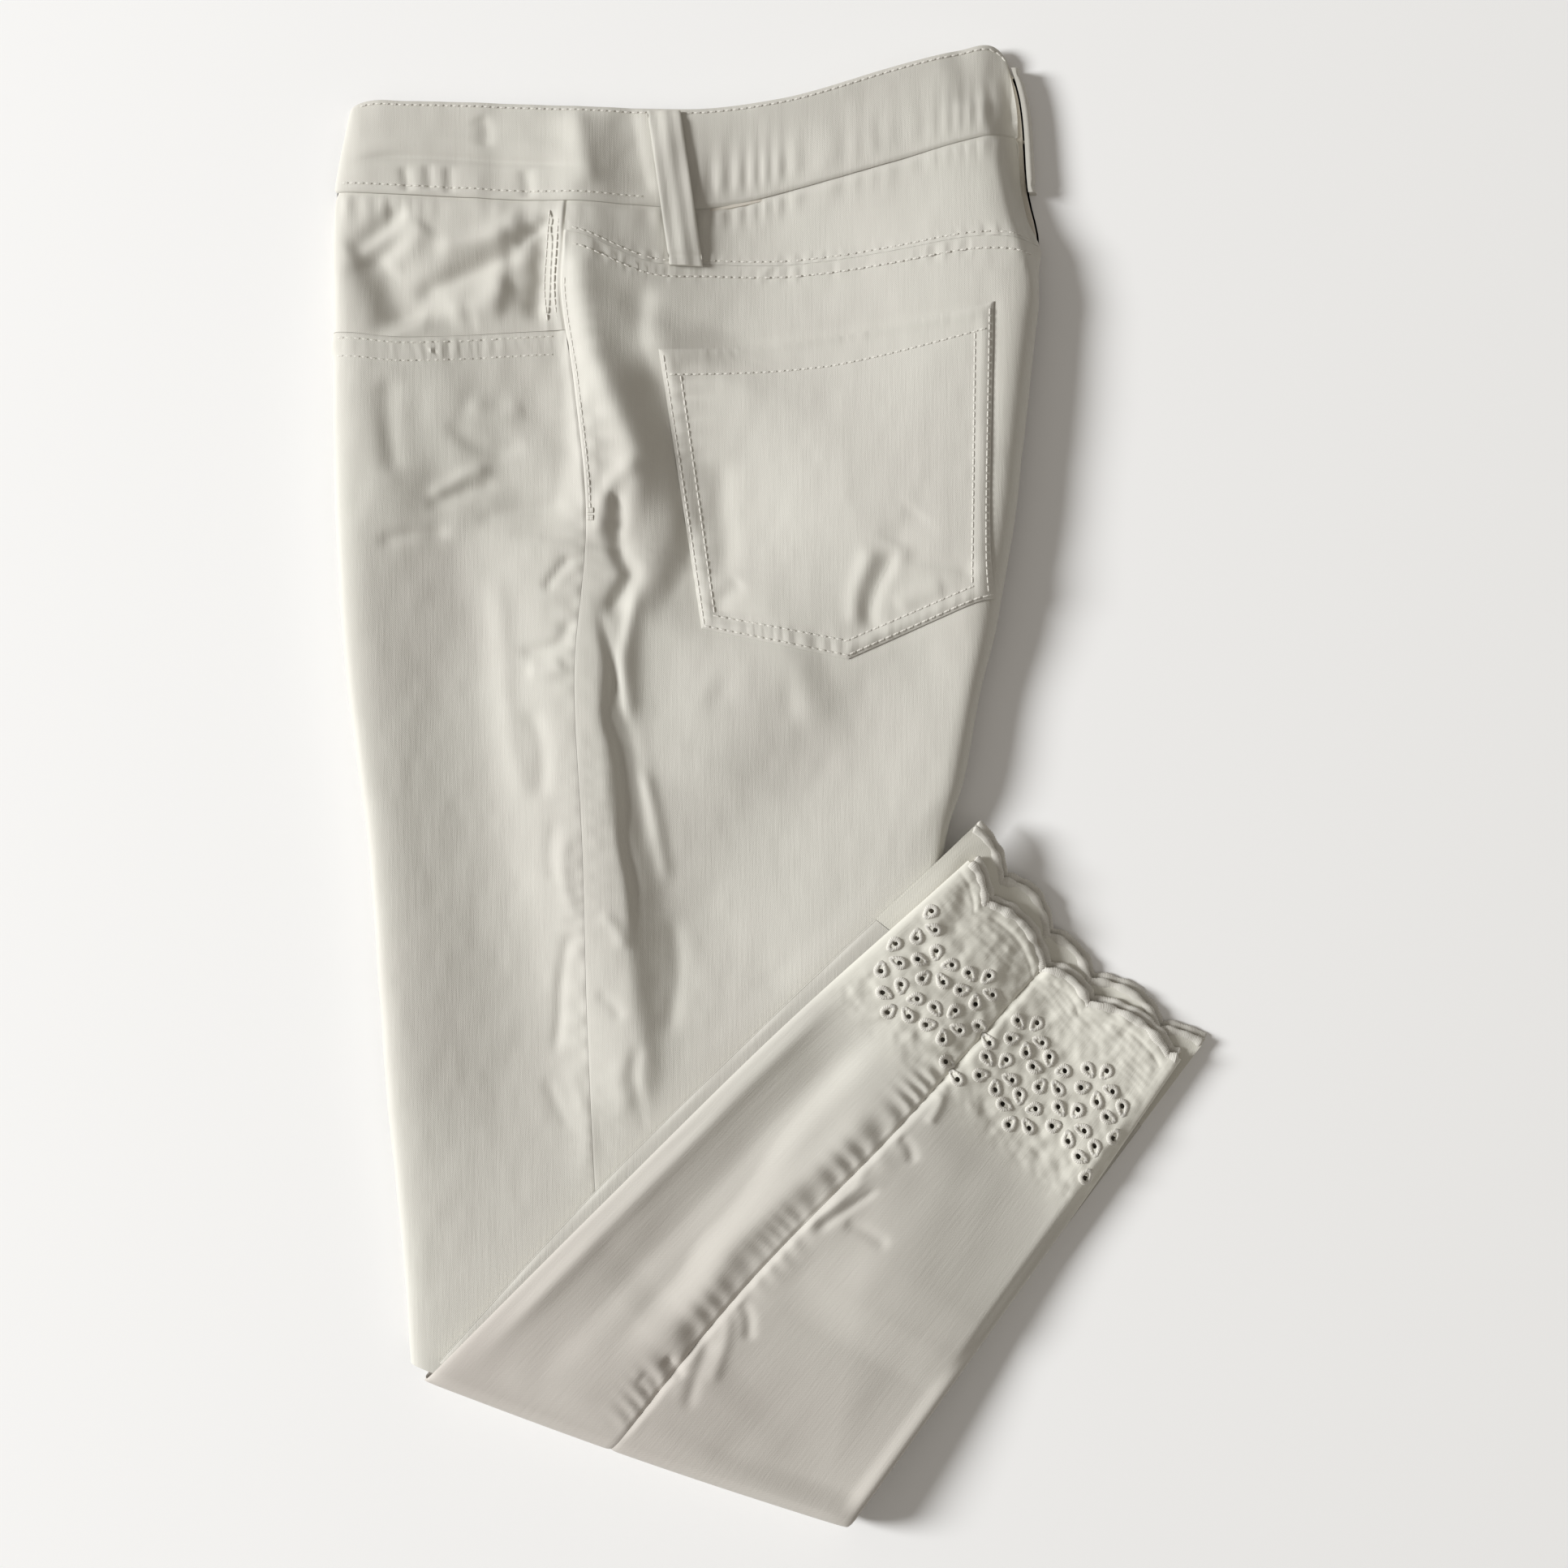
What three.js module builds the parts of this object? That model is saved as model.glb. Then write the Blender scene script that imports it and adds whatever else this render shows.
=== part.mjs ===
// Ankle trousers in stretch denim with scalloped eyelet hems, folded lengthwise and then up at the knee.
// Millimetres, +Z up. They lie on the plane z = 0 with the waist towards +Y and the outer side of the left
// leg on top; the lower legs are folded back over it, so that the outer side of the right leg shows there.
import * as THREE from 'three';

// ---- driving dimensions -------------------------------------------------------------------------
const CLOTH = 1.5; // wall of one panel, with its turned seams
const HEM_CLOTH = 1.3; // wall of an embroidered hem layer
const BAND_CLOTH = 2.6; // wall of the doubled waistband
const SEAM_GAP = 0.5; // between neighbouring pieces
const LAYER_GAP = 1.1; // between a panel and the hidden layers under it
const LIE_GAP = 0.5; // between a panel and a piece sewn flat on it
const REST_GAP = 0.8; // between the upper folds and the lower legs lying on them
const FACING_CLOTH = 1.1; // wall of the pocket facing
const FACING_DEPTH = 0.5; // how far the facing lies in below the front's outer face

const BODY_ROUNDING = 14; // exponent of the upper body's section: higher is flatter with tighter creases
const LEG_ROUNDING = 30; // the same for a lower leg
const FAR_LEG = 4.7; // height of the folded left lower leg, which lies underneath
const NEAR_LEG = 5.8; // height of the folded right lower leg on top of it
const MOUTH = 1.7; // air between the two hem layers of one leg
const CREASE_LEVEL = 0.5; // share of a leg's height at which its crease sits
const FALL = 60; // distance over which the lower legs sink to the table past the back crease
const FALL_START = 12; // how far inside the back crease they begin to sink
const NOSE = 9; // how far the knee fold's rounding reaches back from its outermost line
const HEM_WALLS_START = 0.86; // share of the lower leg at which its hem is modelled layer by layer
const FAR_REACH = 12.6; // how far the left leg's hem lies past the right leg's
const HIDDEN_STEP = 3; // how much shorter each hem layer hidden between two others is
const PANEL_END = 4.5; // how far above the knee fold the left leg's panels turn in
const BODY_END = 3; // how far inside the knee fold's rounding the hidden layers stop
const LOOP_SLACK = 0.8; // how far the middle of a belt loop stands off the waistband
const FRONT_LENGTH = 350; // of the lower leg along its front crease, from the knee fold to the hem
const BACK_LENGTH = 265; // the same along its back crease
const COVER_BLEND = 24; // distance over which the upper folds level out under the lower legs

// Widths of the pieces from crease to seam or crease, which space the columns of their grids.
const WIDTHS = { front: 105, back: 195, yoke: 215, body: 300, band: 315, leg: 180 };
// How far in from a crease a piece's grid has its closer columns, where it turns over.
const TURN_RUNS = [0, 1.2, 6, 16.5];
const LEG_TURN_RUNS = [0, 0.43, 1.62, 4.14];
// Columns of the back pocket between its point and the edge that bends over the back crease.
const POCKET_TURNS = [0.64, 0.76, 0.86, 0.92, 0.96, 1];

// Sections of the upper body: height up the garment, then x of the front crease, of the outseam and of
// the back crease, and the height of the folded stack.
const SECTIONS = [
  { y: 343, front: -184, seam: -92.5, back: 111.5, height: 9.5 },
  { y: 318, front: -193.5, seam: -92.5, back: 118.3, height: 9.5 },
  { y: 278, front: -201.2, seam: -93, back: 121.8, height: 11 },
  { y: 252, front: -203, seam: -95, back: 126.8, height: 13.5 },
  { y: 229, front: -202.6, seam: -96.5, back: 121.6, height: 15 },
  { y: 188, front: -200.9, seam: -90.5, back: 116.2, height: 16 },
  { y: 123, front: -199.1, seam: -84.5, back: 108.6, height: 16 },
  { y: 52, front: -195.2, seam: -89.5, back: 96.5, height: 15.5 },
  { y: -27, front: -185.3, seam: -86, back: 82.2, height: 14.5 },
  { y: -125, front: -177.2, seam: -83.5, back: 68.3, height: 13 },
  { y: -238, front: -168.6, seam: -77.3, back: 52, height: 11.5 },
  { y: -343, front: -162, seam: -69, back: 36, height: 10.5 },
];

// Lines that cross the upper body: x, then y of the waist's top edge, of the waistband's seam, of the
// yoke's seam and of the front pocket's opening.
const CROSS_LINES = [
  { x: -205, top: 303, band: 276.7, yoke: 259, pocket: 210.6 },
  { x: -193, top: 317, band: 275.9, yoke: 259, pocket: 209.8 },
  { x: -168, top: 318.4, band: 274.7, yoke: 259, pocket: 207.9 },
  { x: -95, top: 316, band: 271.3, yoke: 257, pocket: 211.9 },
  { x: -55, top: 314.8, band: 270.5, yoke: 244, pocket: 212 },
  { x: -28, top: 314.9, band: 270.4, yoke: 243.8, pocket: 212 },
  { x: 12, top: 320.8, band: 278.3, yoke: 243.8, pocket: 212 },
  { x: 57, top: 334, band: 289.6, yoke: 248.3, pocket: 212 },
  { x: 89, top: 342.2, band: 298.7, yoke: 253, pocket: 212 },
  { x: 105, top: 344.3, band: 302.2, yoke: 253.6, pocket: 212 },
  { x: 117, top: 334.5, band: 302.4, yoke: 252.3, pocket: 212 },
  { x: 129, top: 318, band: 302.2, yoke: 249.9, pocket: 212 },
];

// The knee fold's outermost line between the creases, and how far its middle bows out.
const KNEE_FOLD = { frontX: -159.5, frontY: -275.3, backX: 36.2, backY: -343.4, bow: 2 };

// The right lower leg from the knee fold to the hem: share of the way, both creases, the outseam's place
// across it, and how far the left leg's front and back creases show past these.
const LEG_STATIONS = [
  { along: 0, frontX: -159.5, frontY: -275.3, backX: 36.2, backY: -343.4, seam: 0.44, out: 1, in: 0 },
  { along: 1 / 3, frontX: -75.4, frontY: -191.1, backX: 91.2, backY: -269.6, seam: 0.42, out: 6.5, in: 0 },
  { along: 2 / 3, frontX: 6.1, frontY: -111, backX: 142.7, backY: -198.4, seam: 0.445, out: 6.5, in: 1 },
  { along: 1, frontX: 91.8, frontY: -34.1, backX: 192.6, backY: -126, seam: 0.445, out: 9, in: 4.5 },
];

// Hem scallops: place across the leg of each cusp, how far it reaches past the hem's line, and how far
// the scallop that follows it swells beyond its cusps.
const RIGHT_HEM = [
  { at: -0.143, reach: -9.9, swell: 9.9 },
  { at: 0.143, reach: -9.9, swell: 7 },
  { at: 0.445, reach: -14.3, swell: 4.7 },
  { at: 0.634, reach: -12.2, swell: 6.4 },
  { at: 0.951, reach: -4.5, swell: 5 },
  { at: 1.2, reach: -4.5, swell: 5 },
];
const LEFT_HEM = [
  { at: -0.13, reach: -7.5, swell: 10.5 },
  { at: 0.18, reach: -7, swell: 7.5 },
  { at: 0.4, reach: -11, swell: 5 },
  { at: 0.6, reach: -13.5, swell: 7.5 },
  { at: 0.86, reach: -8.5, swell: 7.5 },
  { at: 1.12, reach: -4, swell: 6 },
];

// The largest folds of the upper body: both ends of the fold's line, its half width and its height, where
// a trough has a height below zero.
const FOLDS = [
  { x0: -72, y0: 225, x1: -46, y1: 92, halfWidth: 12, height: -2.4 },
  { x0: -88, y0: 150, x1: -62, y1: 95, halfWidth: 11, height: 2 },
  { x0: -170, y0: 60, x1: -152, y1: -170, halfWidth: 20, height: -1.6 },
  { x0: -128, y0: 90, x1: -102, y1: -110, halfWidth: 16, height: 1.6 },
  { x0: -72, y0: 40, x1: -64, y1: -120, halfWidth: 9, height: 1.4 },
];

// Back pocket: its corners in order round the outline, and the belt loops.
const POCKET = {
  topLeft: [-51, 202.7], topRight: [103.8, 223.3], lowRight: [100.7, 87.2], point: [36.7, 58.8],
  lowLeft: [-31, 73], creaseLift: 1.6,
};
const POCKET_DIP = 5; // how far the pocket's top edge dips in its middle
const SIDE_LOOP = { topX: -48.5, topY: 313, endX: -38.2, endY: 242.3, width: 15.5, wall: 2.2 };
const BACK_LOOP = { topY: 334, endY: 276, height: 8, wall: 3.2, standOff: 1 };

const CREAM = 0xdcdacd;
const CREAM_SHADE = 0xcfccbf; // where less light reaches
const CREAM_LOOP = 0xe2e0d5;

// ---- helpers ------------------------------------------------------------------------------------
const mix = (a, b, share) => a + (b - a) * share;
const smooth = (share) => {
  const s = Math.min(1, Math.max(0, share));
  return s * s * (3 - 2 * s);
};

// Value of one column of a table at a place along its key column, on a smooth curve through the rows.
// The end rows' slopes carry on past the table.
function read(table, key, column, place) {
  const rising = table[0][key] < table[table.length - 1][key];
  const rows = rising ? table : [...table].reverse();
  let at = 0;
  while (at < rows.length - 2 && place > rows[at + 1][key]) at += 1;
  const slope = (i) => {
    const before = rows[Math.max(0, i - 1)];
    const after = rows[Math.min(rows.length - 1, i + 1)];
    return (after[column] - before[column]) / (after[key] - before[key]);
  };
  const low = rows[at];
  const high = rows[at + 1];
  const span = high[key] - low[key];
  const t = (place - low[key]) / span;
  if (t < 0) return low[column] + slope(at) * (place - low[key]);
  if (t > 1) return high[column] + slope(at + 1) * (place - high[key]);
  const bend = t * (1 - t) * span;
  return mix(low[column], high[column], t * t * (3 - 2 * t))
    + bend * ((1 - t) * slope(at) - t * slope(at + 1));
}

const frontCrease = (y) => read(SECTIONS, 'y', 'front', y);
const outseam = (y) => read(SECTIONS, 'y', 'seam', y);
const backCrease = (y) => read(SECTIONS, 'y', 'back', y);
const stackHeight = (y) => read(SECTIONS, 'y', 'height', y);
const waistTop = (x) => read(CROSS_LINES, 'x', 'top', x);
const bandSeam = (x) => read(CROSS_LINES, 'x', 'band', x);
const yokeSeam = (x) => read(CROSS_LINES, 'x', 'yoke', x);
const pocketOpening = (x) => read(CROSS_LINES, 'x', 'pocket', x);
function kneeLine(x) {
  const share = (x - KNEE_FOLD.frontX) / (KNEE_FOLD.backX - KNEE_FOLD.frontX);
  return mix(KNEE_FOLD.frontY, KNEE_FOLD.backY, share) - KNEE_FOLD.bow * Math.sin(Math.PI * share);
}

// Outward normal of a surface given by two parameters, of which the first runs from -1 to 1 between creases.
const STEP_ACROSS = 1e-4;
function normalAt(surface, across, along, alongStep) {
  const inward = across > 0 ? -STEP_ACROSS : STEP_ACROSS;
  const here = surface(across, along);
  const sideways = surface(across + inward, along).sub(here).multiplyScalar(Math.sign(inward));
  const lengthways = surface(across, along + alongStep).sub(surface(across, along - alongStep));
  return sideways.cross(lengthways).normalize();
}

// A closed body on a grid. stackAt(row, column) gives the points from its top face down to its bottom face;
// the points between the first and last shape its sides.
function body(rowCount, columnCount, stackAt) {
  const positions = [];
  const indices = [];
  const stacks = [];
  const add = (point) => positions.push(point.x, point.y, point.z) / 3 - 1;
  for (let row = 0; row < rowCount; row += 1) {
    stacks.push([]);
    for (let column = 0; column < columnCount; column += 1) {
      const points = stackAt(row, column);
      const edge = row === 0 || column === 0 || row === rowCount - 1 || column === columnCount - 1;
      const used = edge ? points : [points[0], points[points.length - 1]];
      stacks[row].push(used.map(add));
    }
  }
  const quad = (a, b, c, d) => indices.push(a, b, c, a, c, d);
  const top = (row, column) => stacks[row][column][0];
  const bottom = (row, column) => stacks[row][column].at(-1);
  for (let row = 0; row < rowCount - 1; row += 1) {
    for (let column = 0; column < columnCount - 1; column += 1) {
      const [nextRow, nextColumn] = [row + 1, column + 1];
      quad(top(row, column), top(nextRow, column), top(nextRow, nextColumn), top(row, nextColumn));
      quad(bottom(row, column), bottom(row, nextColumn), bottom(nextRow, nextColumn), bottom(nextRow, column));
    }
  }
  const rim = [];
  for (let row = 0; row < rowCount - 1; row += 1) rim.push(stacks[row][0]);
  for (let column = 0; column < columnCount - 1; column += 1) rim.push(stacks[rowCount - 1][column]);
  for (let row = rowCount - 1; row > 0; row -= 1) rim.push(stacks[row][columnCount - 1]);
  for (let column = columnCount - 1; column > 0; column -= 1) rim.push(stacks[0][column]);
  rim.forEach((stack, i) => {
    const next = rim[(i + 1) % rim.length];
    for (let level = 0; level < stack.length - 1; level += 1) {
      quad(stack[level], stack[level + 1], next[level + 1], next[level]);
    }
  });
  const geometry = new THREE.BufferGeometry();
  geometry.setAttribute('position', new THREE.Float32BufferAttribute(positions, 3));
  geometry.setIndex(signedVolume(positions, indices) > 0 ? indices : indices.reverse());
  geometry.computeVertexNormals();
  return geometry;
}

function signedVolume(positions, indices) {
  const corner = (i) => new THREE.Vector3().fromArray(positions, 3 * indices[i]);
  let volume = 0;
  for (let i = 0; i < indices.length; i += 3) {
    volume += corner(i).dot(corner(i + 1).cross(corner(i + 2)));
  }
  return volume;
}

// Shares 0 to 1 in even steps.
const evenSteps = (count) => Array.from({ length: count + 1 }, (unused, i) => i / count);

// ---- upper body ---------------------------------------------------------------------------------
// How openly a place shows: 1 beside the lower legs, falling to 0 where they cover it.
function openness(x, y) {
  const first = LEG_STATIONS[0];
  const last = LEG_STATIONS.at(-1);
  const run = new THREE.Vector2(last.frontX - first.frontX, last.frontY - first.frontY).normalize();
  const beside = run.x * (y - first.frontY) - run.y * (x - first.frontX);
  return smooth((beside - FAR_REACH) / COVER_BLEND);
}

const FOLD_FADE = 0.3; // share of a fold's length over which it rises and dies out
function foldRelief(x, y) {
  let relief = 0;
  for (const fold of FOLDS) {
    const run = new THREE.Vector2(fold.x1 - fold.x0, fold.y1 - fold.y0);
    const length = run.length();
    run.normalize();
    const along = ((x - fold.x0) * run.x + (y - fold.y0) * run.y) / length;
    const aside = (x - fold.x0) * run.y - (y - fold.y0) * run.x;
    const fade = smooth(along / FOLD_FADE + 0.5) * smooth((1 - along) / FOLD_FADE + 0.5);
    relief += fold.height * fade * Math.exp(-((aside / fold.halfWidth) ** 2));
  }
  return relief * openness(x, y);
}

// The left leg's outer face: across from -1 at the front crease to 1 at the back crease, y up the garment.
function upperSkin(across, y) {
  const front = frontCrease(y);
  const back = backCrease(y);
  const x = mix(front, back, (across + 1) / 2);
  const height = stackHeight(y);
  const crown = Math.sqrt(Math.max(0, 1 - Math.abs(across) ** BODY_ROUNDING));
  const crease = height * CREASE_LEVEL;
  return new THREE.Vector3(x, y, crease + (height - crease + foldRelief(x, y)) * crown);
}

function acrossAt(x, y) {
  const share = (x - frontCrease(y)) / (backCrease(y) - frontCrease(y));
  return Math.min(1, Math.max(-1, 2 * share - 1));
}

// The point of the left leg's outer face over a place in plan, moved in by a depth.
const Y_STEP = 0.5;
function upperPoint(x, y, depth) {
  const across = acrossAt(x, y);
  return upperSkin(across, y).addScaledVector(normalAt(upperSkin, across, y, Y_STEP), -depth);
}

// A place in plan inside four lines, two read along y and two along x.
const TURNS = 12;
function placeIn(lines, share, down) {
  let x = mix(lines.left(0), lines.right(0), share);
  let y = 0;
  for (let turn = 0; turn < TURNS; turn += 1) {
    y = mix(lines.upper(x), lines.lower(x), down);
    x = mix(lines.left(y), lines.right(y), share);
  }
  return [x, y];
}

// Shares across a panel: even, with closer columns where it turns over a crease.
function panelShares(count, frontTurns, backTurns, width) {
  const turns = TURN_RUNS.map((run) => run / width);
  const from = frontTurns ? turns.at(-1) : 0;
  const to = backTurns ? 1 - turns.at(-1) : 1;
  const middle = evenSteps(count).map((share) => mix(from, to, share));
  const start = frontTurns ? turns.slice(0, -1) : [];
  const end = backTurns ? turns.slice(0, -1).map((share) => 1 - share).reverse() : [];
  return [...start, ...middle, ...end];
}

function upperPanel(lines, shares, rows, top, bottom) {
  return body(rows.length, shares.length, (row, column) => {
    const [x, y] = placeIn(lines, shares[column], rows[row]);
    return [upperPoint(x, y, top), upperPoint(x, y, bottom)];
  });
}

const beside = (line, offset) => (value) => line(value) + offset;
const HALF_GAP = SEAM_GAP / 2;

function leftFront() {
  const lines = {
    left: frontCrease, right: beside(outseam, -HALF_GAP),
    upper: pocketOpening, lower: beside(kneeLine, PANEL_END),
  };
  return upperPanel(lines, panelShares(8, true, false, WIDTHS.front), evenSteps(16), 0, CLOTH);
}

function leftPocketFacing() {
  const lines = {
    left: frontCrease, right: beside(outseam, -HALF_GAP),
    upper: beside(bandSeam, -SEAM_GAP), lower: beside(pocketOpening, SEAM_GAP),
  };
  const shares = panelShares(6, true, false, WIDTHS.front);
  return upperPanel(lines, shares, evenSteps(4), FACING_DEPTH, FACING_DEPTH + FACING_CLOTH);
}

function leftYoke() {
  const lines = {
    left: beside(outseam, HALF_GAP), right: backCrease,
    upper: beside(bandSeam, -SEAM_GAP), lower: beside(yokeSeam, HALF_GAP),
  };
  return upperPanel(lines, panelShares(12, false, true, WIDTHS.yoke), evenSteps(3), 0, CLOTH);
}

function leftBack() {
  const lines = {
    left: beside(outseam, HALF_GAP), right: backCrease,
    upper: beside(yokeSeam, -HALF_GAP), lower: beside(kneeLine, PANEL_END),
  };
  return upperPanel(lines, panelShares(12, false, true, WIDTHS.back), evenSteps(17), 0, CLOTH);
}

const BAND_PROUD = (BAND_CLOTH - CLOTH) / 2; // how far the doubled band stands out past the panels
function waistband() {
  const lines = {
    left: frontCrease, right: backCrease, upper: waistTop, lower: bandSeam,
  };
  return upperPanel(lines, panelShares(20, true, true, WIDTHS.band), evenSteps(3), -BAND_PROUD, CLOTH);
}

// The right half of the waistband lies flat on the table under the left half.
function waistbandUnder() {
  const inset = 1.5;
  const lines = {
    left: beside(frontCrease, inset), right: beside(backCrease, -inset),
    upper: beside(waistTop, -inset), lower: bandSeam,
  };
  const shares = evenSteps(18);
  const rows = evenSteps(2);
  return body(rows.length, shares.length, (row, column) => {
    const [x, y] = placeIn(lines, shares[column], rows[row]);
    return [new THREE.Vector3(x, y, BAND_CLOTH), new THREE.Vector3(x, y, 0)];
  });
}

// Everything hidden inside the upper folds, in one body with a flat underside. Its sides show the right
// leg's crease under the left leg's, with a groove between them.
const UPPER_BODY = {
  waistIn: 5, bandEnd: 1, belowStart: 1.6, creaseIn: 1.6, grooveIn: 5, footIn: 2.6, endIn: 1.5,
  grooveRise: 0.7, creaseRise: 0.3, footRise: 0.4, foldRoom: 0.8, rows: 12,
};
function foldedLayersUpper() {
  const {
    waistIn, bandEnd, belowStart, creaseIn, grooveIn, footIn, endIn,
    grooveRise, creaseRise, footRise, foldRoom, rows,
  } = UPPER_BODY;
  const sides = { left: frontCrease, right: backCrease };
  const inBand = { ...sides, upper: beside(waistTop, -waistIn), lower: beside(bandSeam, -bandEnd) };
  const below = {
    ...sides, upper: beside(bandSeam, -belowStart), lower: beside(kneeLine, NOSE + BODY_END),
  };
  const shares = panelShares(10, true, true, WIDTHS.body);
  return body(rows + 3, shares.length, (row, column) => {
    const overBand = row < 2;
    const [x, y] = overBand
      ? placeIn(inBand, shares[column], row)
      : placeIn(below, shares[column], (row - 2) / rows);
    const floor = overBand ? BAND_CLOTH + SEAM_GAP : 0;
    const top = upperPoint(x, y, CLOTH + LAYER_GAP + Math.abs(foldRelief(x, y)) * foldRoom);
    const side = column === 0 ? 1 : column === shares.length - 1 ? -1 : 0;
    const end = row === 0 ? -1 : row === rows + 2 ? 1 : 0;
    const crease = stackHeight(y) * CREASE_LEVEL;
    const under = (floor + crease) / 2;
    const level = (inset, z) => new THREE.Vector3(x + side * inset, y + end * endIn, z);
    return [
      new THREE.Vector3(top.x, top.y + end * endIn, top.z),
      level(grooveIn, mix(under, crease, grooveRise)),
      level(creaseIn, mix(under, crease, creaseRise)),
      level(creaseIn, mix(floor, under, footRise)),
      level(footIn, floor),
    ];
  });
}

// A place on the straight line from one corner to another.
const between = (from, to, share) => [mix(from[0], to[0], share), mix(from[1], to[1], share)];

// Back pocket, laid on the back panel.
function backPocket() {
  const { topLeft, topRight, lowRight, point, lowLeft } = POCKET;
  const rows = evenSteps(9);
  const pointAt = (point[0] - lowLeft[0]) / (lowRight[0] - lowLeft[0]);
  const columns = [...evenSteps(5).map((share) => share * pointAt), ...POCKET_TURNS];
  return body(rows.length, columns.length, (row, column) => {
    const share = columns[column];
    const down = rows[row];
    const lower = share < pointAt
      ? between(lowLeft, point, share / pointAt)
      : between(point, lowRight, (share - pointAt) / (1 - pointAt));
    const dip = POCKET_DIP * Math.sin(Math.PI * share);
    const upper = between(topLeft, topRight, share);
    const [x, level] = between(upper, lower, down);
    const y = level - dip * (1 - down);
    const lift = LIE_GAP + POCKET.creaseLift * Math.abs(acrossAt(x, y)) ** BODY_ROUNDING;
    return [upperPoint(x, y, -lift - CLOTH), upperPoint(x, y, -lift)];
  });
}

// Side belt loop: sewn down over the waistband's top edge and below its seam, standing off a little between.
function sideLoop() {
  const { topX, topY, endX, endY, width, wall } = SIDE_LOOP;
  const rows = evenSteps(8);
  return body(rows.length, 3, (row, column) => {
    const down = rows[row];
    const x = mix(topX, endX, down) + (column - 1) * width / 2;
    const y = mix(topY, endY, down);
    const lift = BAND_PROUD + LIE_GAP + LOOP_SLACK * Math.sin(Math.PI * down);
    return [upperPoint(x, y, -lift - wall), upperPoint(x, y, -lift)];
  });
}

// Centre back belt loop: stands on edge along the back crease.
function backLoop() {
  const { topY, endY, height, wall, standOff } = BACK_LOOP;
  const rows = evenSteps(8);
  return body(rows.length, 2, (row, column) => {
    const y = mix(topY, endY, rows[row]);
    const out = standOff + LIE_GAP + LOOP_SLACK * Math.sin(Math.PI * rows[row]);
    const x = backCrease(y) + out + column * wall;
    const low = Math.max(0, stackHeight(y) * CREASE_LEVEL - height / 2);
    return [new THREE.Vector3(x, y, low + height), new THREE.Vector3(x, y, low)];
  });
}

// ---- lower legs ---------------------------------------------------------------------------------
// What the lower legs lie on: the upper folds, then the table past the back crease.
function bedHeight(x, y) {
  const past = (x - backCrease(y) + FALL_START) / FALL;
  return (stackHeight(y) + REST_GAP) * (1 - smooth(past));
}

// A place in plan on a lower leg: share across from the front crease, share of the way from knee to hem.
function legPlace(share, along, farShare) {
  const at = (column) => read(LEG_STATIONS, 'along', column, along);
  const front = new THREE.Vector2(at('frontX'), at('frontY'));
  const back = new THREE.Vector2(at('backX'), at('backY'));
  const out = front.clone().sub(back).normalize();
  front.addScaledVector(out, at('out') * farShare);
  back.addScaledVector(out, -at('in') * farShare);
  const bow = KNEE_FOLD.bow * Math.sin(Math.PI * share) * Math.max(0, 1 - along) ** 4;
  return front.lerp(back, share).add(new THREE.Vector2(0, -bow));
}

const stationPast = (share, reach) => 1 + reach / mix(FRONT_LENGTH, BACK_LENGTH, share);
const legSeam = (along) => read(LEG_STATIONS, 'along', 'seam', Math.min(along, 1));

// How far a scalloped hem reaches past its line at a share across the leg.
const SCALLOP_FULLNESS = 0.75;
function hemReach(table, share) {
  let at = 0;
  while (at < table.length - 2 && share > table[at + 1].at) at += 1;
  const t = (share - table[at].at) / (table[at + 1].at - table[at].at);
  const arch = Math.sin(Math.PI * Math.min(1, Math.max(0, t))) ** SCALLOP_FULLNESS;
  return mix(table[at].reach, table[at + 1].reach, t) + table[at].swell * arch;
}

const legCrown = (across) => Math.sqrt(Math.max(0, 1 - Math.abs(across) ** LEG_ROUNDING));

// The right lower leg's outer face. Along runs from -1 under the knee fold, through 0 at its outermost line,
// where the rounding has the turn's own steps, and on to 1 at the hem's line.
function nearTop(across, along) {
  const place = legPlace((across + 1) / 2, along, 0);
  const bed = bedHeight(place.x, place.y);
  const crease = NEAR_LEG * CREASE_LEVEL;
  return bed + FAR_LEG + crease + (NEAR_LEG - crease) * legCrown(across);
}

const NOSE_SHARE = NOSE / FRONT_LENGTH;
function nearSkin(across, along) {
  const share = (across + 1) / 2;
  if (along >= NOSE_SHARE) {
    const place = legPlace(share, along, 0);
    return new THREE.Vector3(place.x, place.y, nearTop(across, along));
  }
  const turn = (along / NOSE_SHARE) * Math.PI / 2;
  const place = legPlace(share, NOSE_SHARE * (1 - Math.cos(turn)), 0);
  const half = nearTop(across, NOSE_SHARE) / 2;
  return new THREE.Vector3(place.x, place.y, half * (1 + Math.sin(turn)));
}

const ALONG_STEP = 1e-3;
function nearPoint(across, along, depth) {
  return nearSkin(across, along).addScaledVector(normalAt(nearSkin, across, along, ALONG_STEP), -depth);
}

// Rows of the grid round the knee fold, in shares of a quarter turn, and from there to the hem.
const NOSE_TURNS = [-0.72, -0.36, 0, 0.36, 0.72].map((turn) => turn * NOSE_SHARE);
const LEG_ROWS = 10;

function nearPanel(shareAt, columnShares) {
  const legAlongs = evenSteps(LEG_ROWS);
  const rowCount = NOSE_TURNS.length + legAlongs.length;
  return body(rowCount, columnShares.length, (row, column) => {
    const onLeg = row - NOSE_TURNS.length;
    const hemShare = shareAt(1, columnShares[column]);
    const end = stationPast(hemShare, hemReach(RIGHT_HEM, hemShare));
    const along = onLeg < 0 ? NOSE_TURNS[row] : mix(NOSE_SHARE, end, legAlongs[onLeg]);
    const across = 2 * shareAt(along, columnShares[column]) - 1;
    return [nearPoint(across, along, 0), nearPoint(across, along, CLOTH)];
  });
}

const LEG_TURN_SHARES = LEG_TURN_RUNS.map((run) => run / WIDTHS.leg);
const LEG_SEAM_GAP = HALF_GAP / WIDTHS.leg;
const MIDDLE_SEAM = 0.44; // share across the leg of its outseam, for the spacing of columns

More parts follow.
